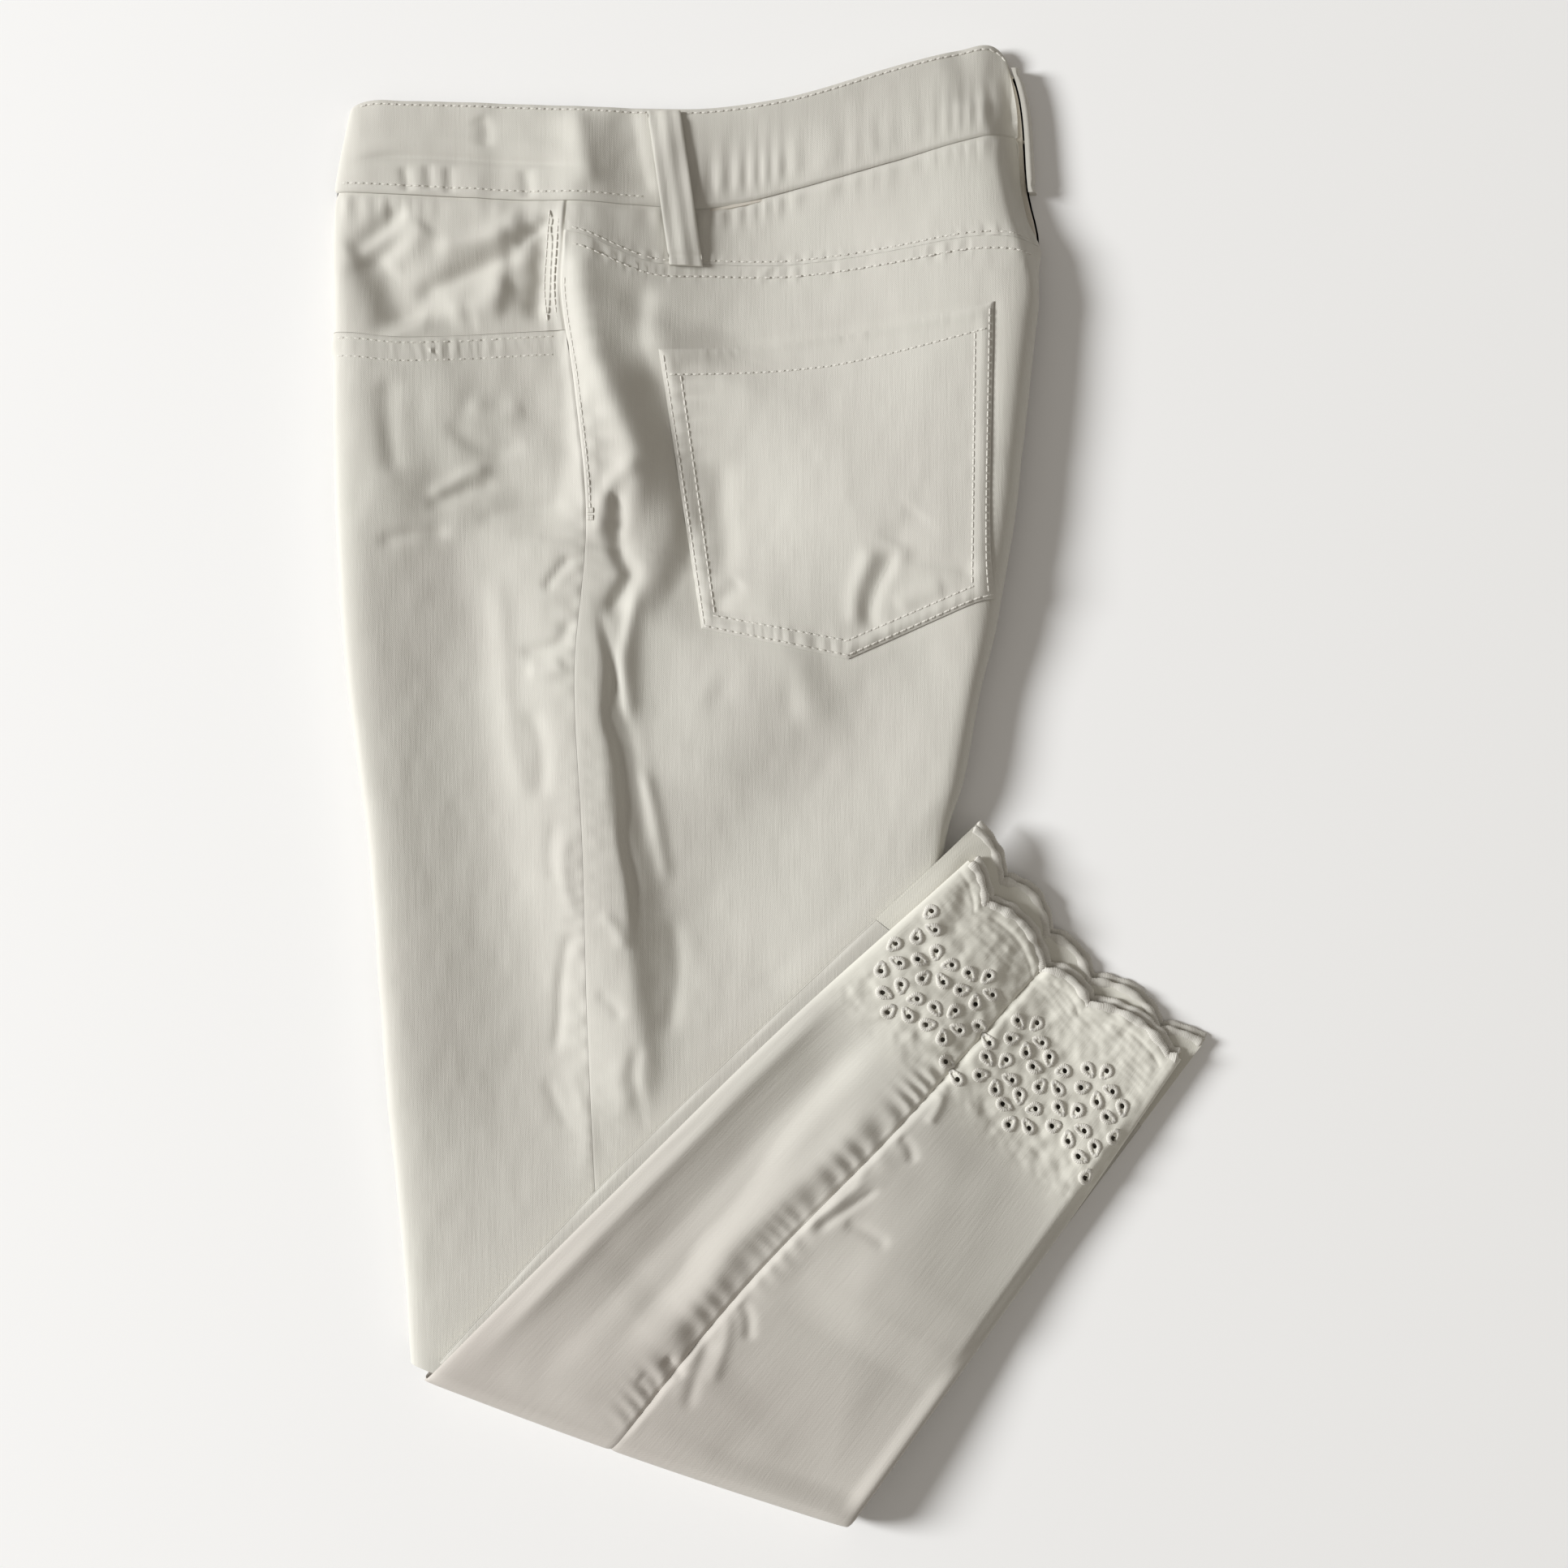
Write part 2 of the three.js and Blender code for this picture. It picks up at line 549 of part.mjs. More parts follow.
function rightFront() {
  const columns = [...LEG_TURN_SHARES.map((share) => share / MIDDLE_SEAM), ...evenSteps(11).slice(1)];
  return nearPanel((along, share) => share * (legSeam(along) - LEG_SEAM_GAP), columns);
}

function rightBack() {
  const turns = LEG_TURN_SHARES.map((share) => 1 - share / (1 - MIDDLE_SEAM)).reverse();
  const columns = [...evenSteps(13).slice(0, -1), ...turns];
  return nearPanel((along, share) => mix(legSeam(along) + LEG_SEAM_GAP, 1, share), columns);
}

// A hem layer under the right leg's outer face: a scalloped wall from where the legs' hidden layers end.
const HEM_LAYER_START = HEM_WALLS_START + 0.005;
function hemLayer(table, extraReach, farShare, lift, inset) {
  const columns = evenSteps(28);
  const rows = evenSteps(2);
  return body(rows.length, columns.length, (row, column) => {
    const share = mix(inset, 1 - inset, columns[column]);
    const end = stationPast(share, hemReach(table, share) + extraReach);
    const place = legPlace(share, mix(HEM_LAYER_START, end, rows[row]), farShare);
    const low = bedHeight(place.x, place.y) + lift;
    return [
      new THREE.Vector3(place.x, place.y, low + HEM_CLOTH),
      new THREE.Vector3(place.x, place.y, low),
    ];
  });
}

const NEAR_FLOOR = FAR_LEG + 0.9; // underside of the right lower leg above what the legs lie on
const RIGHT_INSET = 0.012; // how far in from the creases a hem's hidden layer starts, in shares
const LEFT_INSET = 0.004;
const RIGHT_STEP = 3.2; // how far the right hem's inner layer reaches past its outer one
const rightHemInner = () => hemLayer(RIGHT_HEM, RIGHT_STEP, 0, NEAR_FLOOR, RIGHT_INSET);
const leftHemInner = () => hemLayer(LEFT_HEM, FAR_REACH - HIDDEN_STEP, 1, HEM_CLOTH + MOUTH, LEFT_INSET);
const leftHemOuter = () => hemLayer(LEFT_HEM, FAR_REACH, 1, 0, 0);

const LEG_BODY_START = (NOSE + BODY_END) / FRONT_LENGTH;

// The hidden layers inside the right lower leg, under its outer face.
const LOWER_BODY = { depth: CLOTH + LAYER_GAP + 0.3, end: HEM_WALLS_START - 0.01, thinnest: 0.3 };
function foldedLayersLower() {
  const { depth, end, thinnest } = LOWER_BODY;
  const turned = LEG_TURN_SHARES.at(-1);
  const columns = [
    ...LEG_TURN_SHARES.slice(0, -1),
    ...evenSteps(12).map((share) => mix(turned, 1 - turned, share)),
    ...LEG_TURN_SHARES.slice(0, -1).map((share) => 1 - share).reverse(),
  ];
  const rows = evenSteps(11);
  return body(rows.length, columns.length, (row, column) => {
    const along = mix(LEG_BODY_START, end, rows[row]);
    const across = 2 * columns[column] - 1;
    const top = nearPoint(across, along, depth);
    const base = bedHeight(top.x, top.y) + NEAR_FLOOR;
    return [top, new THREE.Vector3(top.x, top.y, Math.min(base, top.z - thinnest))];
  });
}

// The left lower leg, underneath, in one body: its two layers part in a groove along both creases. Each
// level of its side has how far in it lies and how high it is.
const LEG_SIDE = [
  { inset: 0.8, rise: FAR_LEG },
  { inset: 0, rise: FAR_LEG - 1 },
  { inset: 3.5, rise: FAR_LEG / 2 },
  { inset: 0.4, rise: FAR_LEG / 2 - 0.9 },
  { inset: 1, rise: 0 },
];
function leftLegLower() {
  const columns = evenSteps(12);
  const rows = evenSteps(11);
  return body(rows.length, columns.length, (row, column) => {
    const share = columns[column];
    const along = mix(LEG_BODY_START, HEM_WALLS_START, rows[row]);
    const place = legPlace(share, along, 1);
    const toBack = legPlace(1, along, 1).sub(legPlace(0, along, 1)).normalize();
    const side = column === 0 ? 1 : column === columns.length - 1 ? -1 : 0;
    const low = bedHeight(place.x, place.y);
    return LEG_SIDE.map(({ inset, rise }) => new THREE.Vector3(
      place.x + side * inset * toBack.x,
      place.y + side * inset * toBack.y,
      low + rise,
    ));
  });
}

// ---- the trousers -------------------------------------------------------------------------------
const group = new THREE.Group();
function add(name, geometry, color, roughness = 0.9) {
  const mesh = new THREE.Mesh(geometry, new THREE.MeshStandardMaterial({ color, roughness, metalness: 0 }));
  mesh.name = name;
  group.add(mesh);
}

add('folded_layers_upper', foldedLayersUpper(), CREAM_SHADE);
add('left_front', leftFront(), CREAM);
add('left_pocket_facing', leftPocketFacing(), CREAM_SHADE);
add('left_back', leftBack(), CREAM);
add('left_yoke', leftYoke(), CREAM);
add('waistband_left_half', waistband(), CREAM);
add('waistband_right_half', waistbandUnder(), CREAM_SHADE);
add('left_back_pocket', backPocket(), CREAM);
add('belt_loop_side', sideLoop(), CREAM_LOOP);
add('belt_loop_back', backLoop(), CREAM_LOOP);
add('left_leg_lower', leftLegLower(), CREAM_SHADE);
add('left_hem_outer', leftHemOuter(), CREAM);
add('left_hem_inner', leftHemInner(), CREAM);
add('folded_layers_lower', foldedLayersLower(), CREAM_SHADE);
add('right_hem_inner', rightHemInner(), CREAM);
add('right_front', rightFront(), CREAM);
add('right_back', rightBack(), CREAM);

export default group;
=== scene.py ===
import math
from collections import namedtuple

import bpy
import numpy as np
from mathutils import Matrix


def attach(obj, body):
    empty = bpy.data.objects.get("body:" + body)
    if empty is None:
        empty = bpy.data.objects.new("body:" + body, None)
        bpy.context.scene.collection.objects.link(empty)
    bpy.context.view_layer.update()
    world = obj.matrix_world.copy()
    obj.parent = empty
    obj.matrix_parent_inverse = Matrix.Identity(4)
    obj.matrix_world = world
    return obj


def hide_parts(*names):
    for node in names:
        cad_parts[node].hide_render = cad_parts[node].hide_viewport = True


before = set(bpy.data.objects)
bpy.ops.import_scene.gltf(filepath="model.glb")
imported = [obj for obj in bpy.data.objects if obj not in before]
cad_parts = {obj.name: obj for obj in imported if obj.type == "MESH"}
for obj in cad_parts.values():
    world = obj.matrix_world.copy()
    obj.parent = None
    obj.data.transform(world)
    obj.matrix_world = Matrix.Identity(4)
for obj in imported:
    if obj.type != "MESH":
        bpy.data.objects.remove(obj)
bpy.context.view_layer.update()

bl_info = {
    "name": "Folded Ankle Trousers",
    "version": (1, 0, 0),
    "blender": (4, 5, 0),
    "location": "View3D > Sidebar > Trousers",
    "description": "Cream denim ankle trousers with scalloped eyelet hems, folded flat",
    "category": "Add Mesh",
}

# Everything below is worked out in millimetres, and each mesh is scaled to metres when it is made. The
# waist lies towards +Y, the left leg's outer side is on top, and the lower legs are folded back over it.
MM = 0.001

# ---- the garment's own sizes ---------------------------------------------------------------------
# Gaps between panels that meet at a seam, between cloth and the layers under it, and between pieces that lie
# on each other.
SEAM_GAP = 0.12
FELLED_GAP = 0.1
LAYER_GAP = 1.1
LIE_GAP = 0.5
REST_GAP = 0.8
# Cloth that differs from the usual thickness, and how deep the pocket's facing lies.
HEM_CLOTH = 1.3
FACING_CLOTH = 1.1
NEAR_CLOTH = 1.2
BAND_CLOTH = 2.6
FACING_DEPTH = 0.5
# How square the folded stack is at a crease: the power of its rounding. The waist's is softer.
FRONT_ROUNDING = 24
BACK_ROUNDING = 64
LEG_ROUNDING = 30
WAIST_ROUNDING = 22
WAIST_TURNS_FROM = 222
WAIST_BLEND = 18
# Height of a crease as a share of its stack, thickness of each lower leg, and how the two lower legs fall
# from the upper body to the floor past its back crease.
CREASE_LEVEL = 0.5
FAR_LEG = 4.7
NEAR_LEG = 5.8
NEAR_FLOOR = FAR_LEG + 0.9
FALL = 86
FALL_START = 12
# The lower legs along their creases, from the knee fold's outermost line to the hem's line: their lengths,
# the width at the hem and how much more it is at the knee, both sizes at about the middle, how far the fold
# itself reaches, and the shares of the way at which the hem's layers part and the finer mesh of its
# embroidery starts.
FRONT_LENGTH = 350
BACK_LENGTH = 265
HEM_WIDTH = 136.5
KNEE_WIDENING = 70
LEG_WIDTH = 180
LEG_LENGTH = 290
NOSE = 9
NOSE_SHARE = NOSE / FRONT_LENGTH
HEM_WALLS_START = 0.86
BAND_START = 0.68
# How far the left leg's hem shows past the right one, the step to its hidden layer, and how far the upper
# body's cloth and hidden layers end short of the fold.
FAR_REACH = 12.6
HIDDEN_STEP = 3
PANEL_END = 4.5
BODY_END = 3
# Rows of embroidery above the hem, and the height that the eyelets' rises end under.
WORKED_ROW_PITCH = 3.6
PADS_END = 100


def mix(low, high, share):
    return low + (high - low) * share


def smooth(share):
    share = np.clip(share, 0, 1)
    return share * share * (3 - 2 * share)


def ramp(place, start, end):
    """0 up to the start and 1 from the end on, with a smooth rise between them."""
    return smooth((place - start) / (end - start))


def ridge(away, at, width, height):
    """A soft ridge beside a line, or a groove where its height is below zero."""
    return height * np.exp(-(((away - at) / width) ** 2))


def spread(*values):
    """Numbers and arrays as arrays of one shape."""
    return np.broadcast_arrays(*(np.asarray(value, float) for value in values))


def at_height(x, y, z):
    return np.stack(np.broadcast_arrays(x, y, z), -1)


def in_plan(x, y):
    return np.stack([x, y], -1)


class Table:
    """Rows of numbers under named columns, read on a smooth curve through the rows."""

    def __init__(self, names, *rows):
        names = names.split()
        self.key = names[0]
        self.columns = dict(zip(names, np.array(sorted(rows), float).T))

    def line(self, name):
        return lambda place: self.at(name, place)

    def at(self, name, place):
        key, value = self.columns[self.key], self.columns[name]
        place = np.asarray(place, float)
        row = np.arange(len(key))
        before, after = np.maximum(row - 1, 0), np.minimum(row + 1, len(key) - 1)
        slope = (value[after] - value[before]) / (key[after] - key[before])
        low = np.clip(np.searchsorted(key, place) - 1, 0, len(key) - 2)
        span = key[low + 1] - key[low]
        t = np.clip((place - key[low]) / span, 0, 1)
        curve = mix(value[low], value[low + 1], t * t * (3 - 2 * t))
        curve = curve + t * (1 - t) * span * ((1 - t) * slope[low] - t * slope[low + 1])
        past = place - np.clip(place, key[0], key[-1])
        return curve + past * np.where(past < 0, slope[0], slope[-1])


# Sections of the upper body: height up the garment, x of the front crease, the outseam and the back
# crease, and the height of the folded stack.
SECTIONS = Table(
    "y front seam back height",
    (343, -184, -92.5, 111.5, 9.5),
    (318, -193.5, -92.5, 118.3, 9.5),
    (278, -201.2, -93, 121.8, 11),
    (252, -203, -95, 126.8, 13.5),
    (229, -202.6, -96.5, 121.6, 15),
    (188, -200.9, -90.5, 116.2, 16),
    (123, -199.1, -84.5, 108.6, 16),
    (52, -195.2, -89.5, 96.5, 15.5),
    (-27, -185.3, -86, 82.2, 14.5),
    (-125, -177.2, -83.5, 68.3, 13),
    (-238, -168.6, -77.3, 52, 11.5),
    (-343, -162, -69, 36, 10.5),
)

# Lines across the upper body: y of the waist's top edge, the waistband's seam, the yoke's seam and the
# front pocket's opening at each x.
CROSS_LINES = Table(
    "x top band yoke pocket",
    (-205, 303, 276.7, 259, 210.6),
    (-193, 317, 275.9, 259, 209.8),
    (-168, 318.4, 274.7, 259, 207.9),
    (-95, 316, 271.3, 257, 211.9),
    (-55, 314.8, 270.5, 244, 212),
    (-28, 314.9, 270.4, 243.8, 212),
    (12, 320.8, 278.3, 243.8, 212),
    (57, 334, 289.6, 248.3, 212),
    (89, 342.2, 298.7, 253, 212),
    (105, 344.3, 302.2, 253.6, 212),
    (117, 334.5, 302.4, 252.3, 212),
    (129, 318, 302.2, 249.9, 212),
)

# The right lower leg from the knee fold to the hem: share of the way, both creases, the outseam's place
# across it, and how far the left leg's front and back creases show past these.
LEG = Table(
    "along front_x front_y back_x back_y seam out in",
    (0, -159.5, -275.3, 36.2, -343.4, 0.44, 1, 0),
    (1 / 3, -75.4, -191.1, 91.2, -269.6, 0.42, 6.5, 0),
    (2 / 3, 6.1, -111, 142.7, -198.4, 0.445, 6.5, 1),
    (1, 91.8, -34.1, 192.6, -126, 0.445, 9, 4.5),
)
KNEE_BOW = 2

# Hem scallops: share across the leg of each cusp, its reach past the hem's line, and how far the scallop
# after it swells beyond its cusps.
Scallop = namedtuple("Scallop", "at reach swell")
RIGHT_HEM = (
    Scallop(-0.143, -9.9, 9.9),
    Scallop(0.143, -9.9, 7),
    Scallop(0.445, -14.3, 4.7),
    Scallop(0.634, -12.2, 6.4),
    Scallop(0.951, -4.5, 5),
    Scallop(1.2, -4.5, 5),
)
LEFT_HEM = (
    Scallop(-0.13, -7.5, 10.5),
    Scallop(0.18, -7, 7.5),
    Scallop(0.4, -11, 5),
    Scallop(0.6, -13.5, 7.5),
    Scallop(0.86, -8.5, 7.5),
    Scallop(1.12, -4, 6),
)
SCALLOP_FULLNESS = 0.75

# The back pocket's corners and size, the dip of its top edge and how far it lifts at the back crease.
POCKET = {
    "top_left": (-51, 202.7),
    "top_right": (103.8, 223.3),
    "low_right": (100.7, 87.2),
    "point": (36.7, 58.8),
    "low_left": (-31, 73),
}
POCKET_WIDTH = 145
POCKET_HEIGHT = 140
POCKET_DIP = 5
POCKET_LIFT = 1.6
# The belt loops: the middles of their ends in plan or along the back crease, and their walls of cloth.
SIDE_LOOP = {"top": (-48.5, 313), "end": (-38.2, 242.3), "width": 15.5, "wall": 1.9}
BACK_LOOP = {"top": 334, "end": 276, "height": 8, "wall": 3.2, "stand_off": -0.5, "lean": 1.5}
LOOP_SLACK = 0.8

# Eyelet flowers on either panel of a lower leg, in columns of two: how far each column stands from the
# outseam, and how far its lower flower lies from the hem's line. A petal of every second one points down.
FRONT_FLOWERS = ((-55, 36.7), (-36, 47.4), (-16.5, 41), (3, 51.5))
BACK_FLOWERS = ((14, 42), (32, 48.5), (51, 36.6), (70, 42.5), (89, 31), (-3.5, 54))
FLOWER_PITCH = 22.6
PETALS = 5
PETAL_REACH = 7.8

# ---- creases -------------------------------------------------------------------------------------
# Each crease or soft fold: its height, below zero for a trough, its half widths to the left and to the
# right of its course, and the course itself.
Crease = namedtuple("Crease", "height left right course")

BODY_CREASES = (
    # the wide hollow of the front, from under the pocket's opening to the lower legs
    Crease(2.6, 34, 5, ((-198, 262), (-198, 230), (-198, 200), (-197, 150), (-194.5, 100), (-191, 52),
        (-184, 0), (-180, -40), (-176, -90), (-173, -130), (-169, -180), (-165, -240))),
    Crease(-4.6, 11, 62, ((-98, 262), (-98, 222), (-97, 195), (-97, 170), (-98, 150), (-101, 130),
        (-106, 108))),
    Crease(-3.9, 27, 40, ((-126, 170), (-131, 130), (-137, 105), (-138, 75), (-137, 40), (-133, 10),
        (-130, -20), (-126, -48), (-118, -70), (-112, -92), (-106, -110), (-101, -132), (-99, -152),
        (-97, -190))),
    Crease(0.8, 5, 6, ((-127, 105), (-124, 75), (-122, 45), (-117, 12), (-112, -14))),
    # short creases of the front
    Crease(0.9, 3, 3, ((-158, 134), (-147, 140), (-139, 145), (-128, 148))),
    Crease(-0.8, 3.5, 3, ((-160, 129), (-146, 134), (-136, 138), (-125, 141))),
    Crease(-0.8, 5, 4, ((-150, 170), (-138, 160), (-126, 156), (-112, 160))),
    Crease(0.8, 5, 5, ((-140, 178), (-126, 172), (-112, 176))),
    Crease(-0.8, 4, 4, ((-137, 122), (-122, 127), (-108, 129), (-92, 132))),
    Crease(-0.8, 3, 3, ((-182, 112), (-165, 117), (-146, 118))),
    Crease(-1.1, 2.2, 2.2, ((-104, 90), (-99, 97), (-95, 102), (-90, 106))),
    Crease(-1, 3, 3, ((-116, 62), (-104, 63), (-95, 68), (-91, 78))),
    Crease(0.9, 4, 4, ((-112, 54), (-102, 53), (-94, 58))),
    Crease(-1, 5, 5, ((-174, 192), (-176, 170), (-172, 142))),
    Crease(-0.8, 4, 4, ((-112, 38), (-106, 24), (-104, 8), (-106, -8))),
    Crease(-0.8, 2.6, 2.6, ((-88, -64), (-93, -74), (-96, -90), (-97, -108), (-100, -128))),
    Crease(0.6, 3, 3, ((-92, -20), (-95, -34), (-93, -50), (-88, -62))),
    Crease(-0.5, 3, 3, ((-98, -14), (-101, -30), (-99, -46))),
    Crease(0.6, 4, 4, ((-94, -126), (-88, -142), (-84, -160), (-84, -185))),
    Crease(-0.45, 3, 3, ((-104, -134), (-98, -148), (-92, -160))),
    # the deep fold down the back beside the pocket, and the ridge that curls over it
    Crease(-1.8, 6, 10, ((-58, 238), (-60, 222), (-60, 207), (-54, 192), (-48, 178))),
    Crease(-4.5, 34, 11, ((-58, 205), (-51, 188), (-43, 167), (-36, 146), (-32, 125), (-36, 104),
        (-44, 86), (-50, 70))),
    Crease(3, 9, 8, ((-91, 262), (-90, 240), (-87, 220), (-82, 203), (-76, 188), (-68, 170), (-62, 154),
        (-62, 136), (-66, 116))),
    Crease(1.6, 4, 4, ((-58, 152), (-66, 147), (-73, 140), (-77, 128), (-80, 112))),
    Crease(-1.6, 3.5, 3.5, ((-72, 138), (-69, 126), (-71, 112))),
    Crease(-2.4, 5, 4, ((-72, 118), (-68, 106), (-64, 98), (-69, 88), (-76, 78))),
    Crease(1.6, 5, 2.5, ((-60, 96), (-64, 76), (-67, 60), (-66, 42), (-64, 26))),
    # the outseam's strip, pressed to the back, and the channel beside it
    Crease(3.4, 9, 32, ((-86, 100), (-83, 76), (-80, 60), (-79, 33), (-77, 10), (-75, -10), (-71, -30),
        (-68, -50), (-66, -75), (-63, -100), (-60, -130), (-58, -170))),
    Crease(-2, 40, 12, ((-62, 96), (-54, 76), (-52, 56), (-51, 35), (-50, 12), (-50, -10), (-49, -30),
        (-45, -50), (-41, -75), (-42, -100), (-46, -126))),
    Crease(-1, 4, 4, ((-72, 62), (-70, 44), (-66, 26), (-62, 8), (-60, -14), (-58, -36))),
    Crease(-1.2, 3, 2.2, ((-80, 92), (-76, 72), (-72, 52), (-74, 34), (-69, 16), (-66, -6), (-66, -26),
        (-62, -46), (-60, -78))),
    Crease(0.9, 3.5, 3, ((-60, 12), (-54, -8), (-50, -30), (-47, -48))),
    Crease(-0.6, 4, 4, ((-46, -58), (-42, -78), (-43, -98), (-47, -118))),
    Crease(-0.8, 3, 3.6, ((-59, -116), (-62, -132), (-59, -148), (-56, -164))),
    Crease(0.4, 4, 4, ((-67, -122), (-69, -138), (-66, -154))),
    Crease(0.7, 3, 3, ((-78, -58), (-70, -66), (-66, -76))),
    Crease(-0.6, 3, 3, ((-80, -96), (-73, -100), (-67, -108))),
    # the long hollow of the back from the waist down past the pocket
    Crease(2.6, 18, 12, ((-86, 322), (-87, 295), (-88, 268), (-87, 244), (-84, 222))),
    Crease(-4.8, 40, 42, ((-30, 312), (-24, 285), (-20, 258), (-20, 236), (-28, 212), (-36, 194))),
    Crease(-4.8, 50, 62, ((24, 300), (26, 268), (24, 238), (20, 212), (10, 188), (-2, 166), (-8, 148),
        (-12, 126), (-14, 102), (-18, 84))),
    Crease(4.1, 7, 56, ((97, 350), (99, 318), (104, 288), (110, 262), (117, 236), (119.5, 210),
        (118, 188), (115, 156), (111, 124), (105.5, 92), (100, 60), (95.5, 34), (90.5, 4), (85.5, -24),
        (80.5, -60))),
    Crease(-3.4, 3, 13, ((112, 350), (119, 324), (123, 302), (125, 282), (127, 262), (127, 246))),
    # the slanting hollow under the pocket
    Crease(1.6, 30, 30, ((30, 56), (10, 46), (-12, 34), (-28, 18), (-38, -4))),
    Crease(-3.2, 44, 32, ((104, 78), (76, 56), (46, 32), (28, 8), (8, -12), (-10, -36), (-24, -58),
        (-36, -80), (-42, -104))),
    Crease(-0.8, 9, 9, ((-30, 46), (-14, 38), (2, 36), (18, 40))),
)

FACING_CREASES = (
    Crease(-4.6, 16, 11, ((-186, 252), (-175, 232), (-167, 210))),
    Crease(-2.2, 5, 4, ((-196, 246), (-186, 253), (-174, 264), (-170, 272))),
    Crease(1.6, 6, 6, ((-178, 240), (-168, 250), (-158, 262))),
    Crease(-2.6, 5, 5, ((-166, 226), (-156, 231), (-145, 236), (-132, 242), (-112, 250))),
    Crease(1.8, 5, 5, ((-156, 250), (-138, 252), (-122, 258), (-112, 266))),
    Crease(1.3, 6, 6, ((-150, 218), (-134, 224), (-118, 234))),
    Crease(-2.4, 5, 6, ((-104, 262), (-104, 246), (-106, 228), (-110, 214))),
    Crease(1.4, 4, 7, ((-126, 262), (-124, 244), (-126, 226), (-130, 214))),
    Crease(-1.6, 3, 3, ((-118, 250), (-108, 258), (-98, 265))),
    Crease(-1, 6, 6, ((-160, 218), (-148, 216), (-134, 218))),
)

POCKET_CREASES = (
    Crease(-1.1, 3.4, 4.5, ((58, 112), (55, 102), (50, 92), (47, 80), (49, 68))),
    Crease(0.9, 4, 4, ((49, 112), (44, 100), (40, 88), (40, 72))),
    Crease(-0.8, 5, 3.5, ((60, 106), (74, 104), (88, 101), (97, 97))),
    Crease(0.7, 5, 5, ((58, 82), (68, 88), (82, 92))),
    Crease(-1, 6, 6, ((-24, 156), (-22, 135), (-20, 112), (-22, 92))),
    Crease(-0.7, 4, 4, ((-12, 96), (-20, 88), (-26, 80))),
    Crease(-0.6, 8, 8, ((70, 128), (62, 118), (58, 110))),
)

BAND_CREASES = (
    Crease(-1, 1.8, 1.8, ((-196, 289), (-180, 292), (-160, 292), (-130, 290.5), (-100, 288.5), (-82, 287))),
    Crease(0.6, 4, 4, ((-192, 298), (-160, 300), (-120, 298), (-88, 295))),
    Crease(-1.2, 4, 12, ((-66, 318), (-63, 306), (-60, 290), (-56, 272))),
    Crease(1, 5, 6, ((-90, 316), (-86, 296), (-82, 276))),
    Crease(-0.8, 3, 5, ((-134, 312), (-131, 304), (-132, 296))),
    Crease(-0.8, 2.4, 2.4, ((-169, 288), (-167, 275))),
    Crease(-0.7, 2.4, 2.4, ((-158, 289), (-157, 276))),
    Crease(-0.7, 2.4, 2.4, ((-148, 288), (-148, 274))),
    Crease(-0.8, 3, 3, ((-113, 287), (-111, 272))),
    Crease(-1.3, 5, 12, ((104, 352), (109, 332), (112, 314), (114, 296))),
    Crease(-1.1, 8, 7, ((86, 346), (92, 330), (94, 314))),
)

FLAP_CREASES = (
    # soft folds along the lower leg
    Crease(-0.55, 2.2, 2.2, ((-150, -264), (-120, -233), (-92, -207), (-62, -179), (-20, -144))),
    Crease(1.1, 5, 5, ((-138, -266), (-124, -253), (-94, -223), (-65, -193), (-36, -164), (-8, -135),
        (21, -107), (40, -88))),
    Crease(-1.4, 13, 8, ((-115, -276), (-101, -262), (-72.5, -233), (-44, -203), (-17, -174), (9.5, -146),
        (37, -118), (52, -102))),
    Crease(-2.6, 20, 8, ((-80, -266), (-57, -239), (-43, -224), (-33, -208), (-20, -194), (-8, -178),
        (2, -163), (14, -148), (27, -134), (40, -120), (56, -104))),
    Crease(1.5, 7, 7, ((-58, -264), (-41, -246), (-27, -230), (-17, -212), (-3, -199), (10, -186),
        (23, -175), (36, -162), (48, -148), (60, -138))),
    Crease(1.6, 34, 60, ((-104, -310), (-84, -286), (-62, -262), (-40, -240))),
    Crease(-0.9, 9, 20, ((2, -240), (20, -222), (36, -208), (52, -190), (64, -174), (76, -160))),
    Crease(2.6, 60, 9, ((82, -276), (104, -246), (124.5, -219), (144, -193), (164, -166), (178, -147))),
    Crease(-3, 60, 24, ((8, -350), (26, -322), (40, -298), (54, -276), (68, -252))),
    # creases that run out from the outseam
    Crease(0.8, 2, 2, ((14, -204), (28, -194), (46, -180))),
    Crease(-0.9, 2, 2, ((20, -206), (34, -196), (52, -184))),
    Crease(-0.8, 2.4, 2.4, ((60, -160), (65, -166), (67, -174))),
    Crease(0.8, 2.4, 2.4, ((80, -140), (78, -147), (73, -156))),
    Crease(-0.9, 2.6, 2.6, ((-13, -236), (-9, -244), (-9, -256))),
    Crease(0.7, 3, 3, ((-18, -240), (-20, -256), (-27, -276))),
    Crease(-0.7, 3, 3, ((-26, -252), (-32, -268), (-38, -288))),
    Crease(-0.7, 3, 3, ((34, -200), (44, -204), (56, -212))),
    Crease(-1, 2.4, 2.4, ((-48, -262), (-44, -266), (-39, -272))),
    Crease(-0.9, 2.4, 2.4, ((-60, -270), (-54, -276), (-49, -280))),
    # the embroidered band is drawn in
    Crease(-0.9, 6, 6, ((60, -60), (66, -68), (74, -80), (66, -92))),
    Crease(-0.9, 6, 6, ((88, -42), (91, -52), (88, -62), (80, -70))),
    Crease(0.6, 9, 9, ((92, -72), (102, -80), (112, -84))),
    Crease(-0.6, 8, 8, ((118, -92), (126, -102), (132, -110))),
)

# The share of a crease over which either end fades out, and the distances over which the upper body's rises
# level out beside the lower legs and its troughs reach in under them.
CREASE_FADE = 0.2
COVER_BLEND = 18
COVER_EDGE = 6


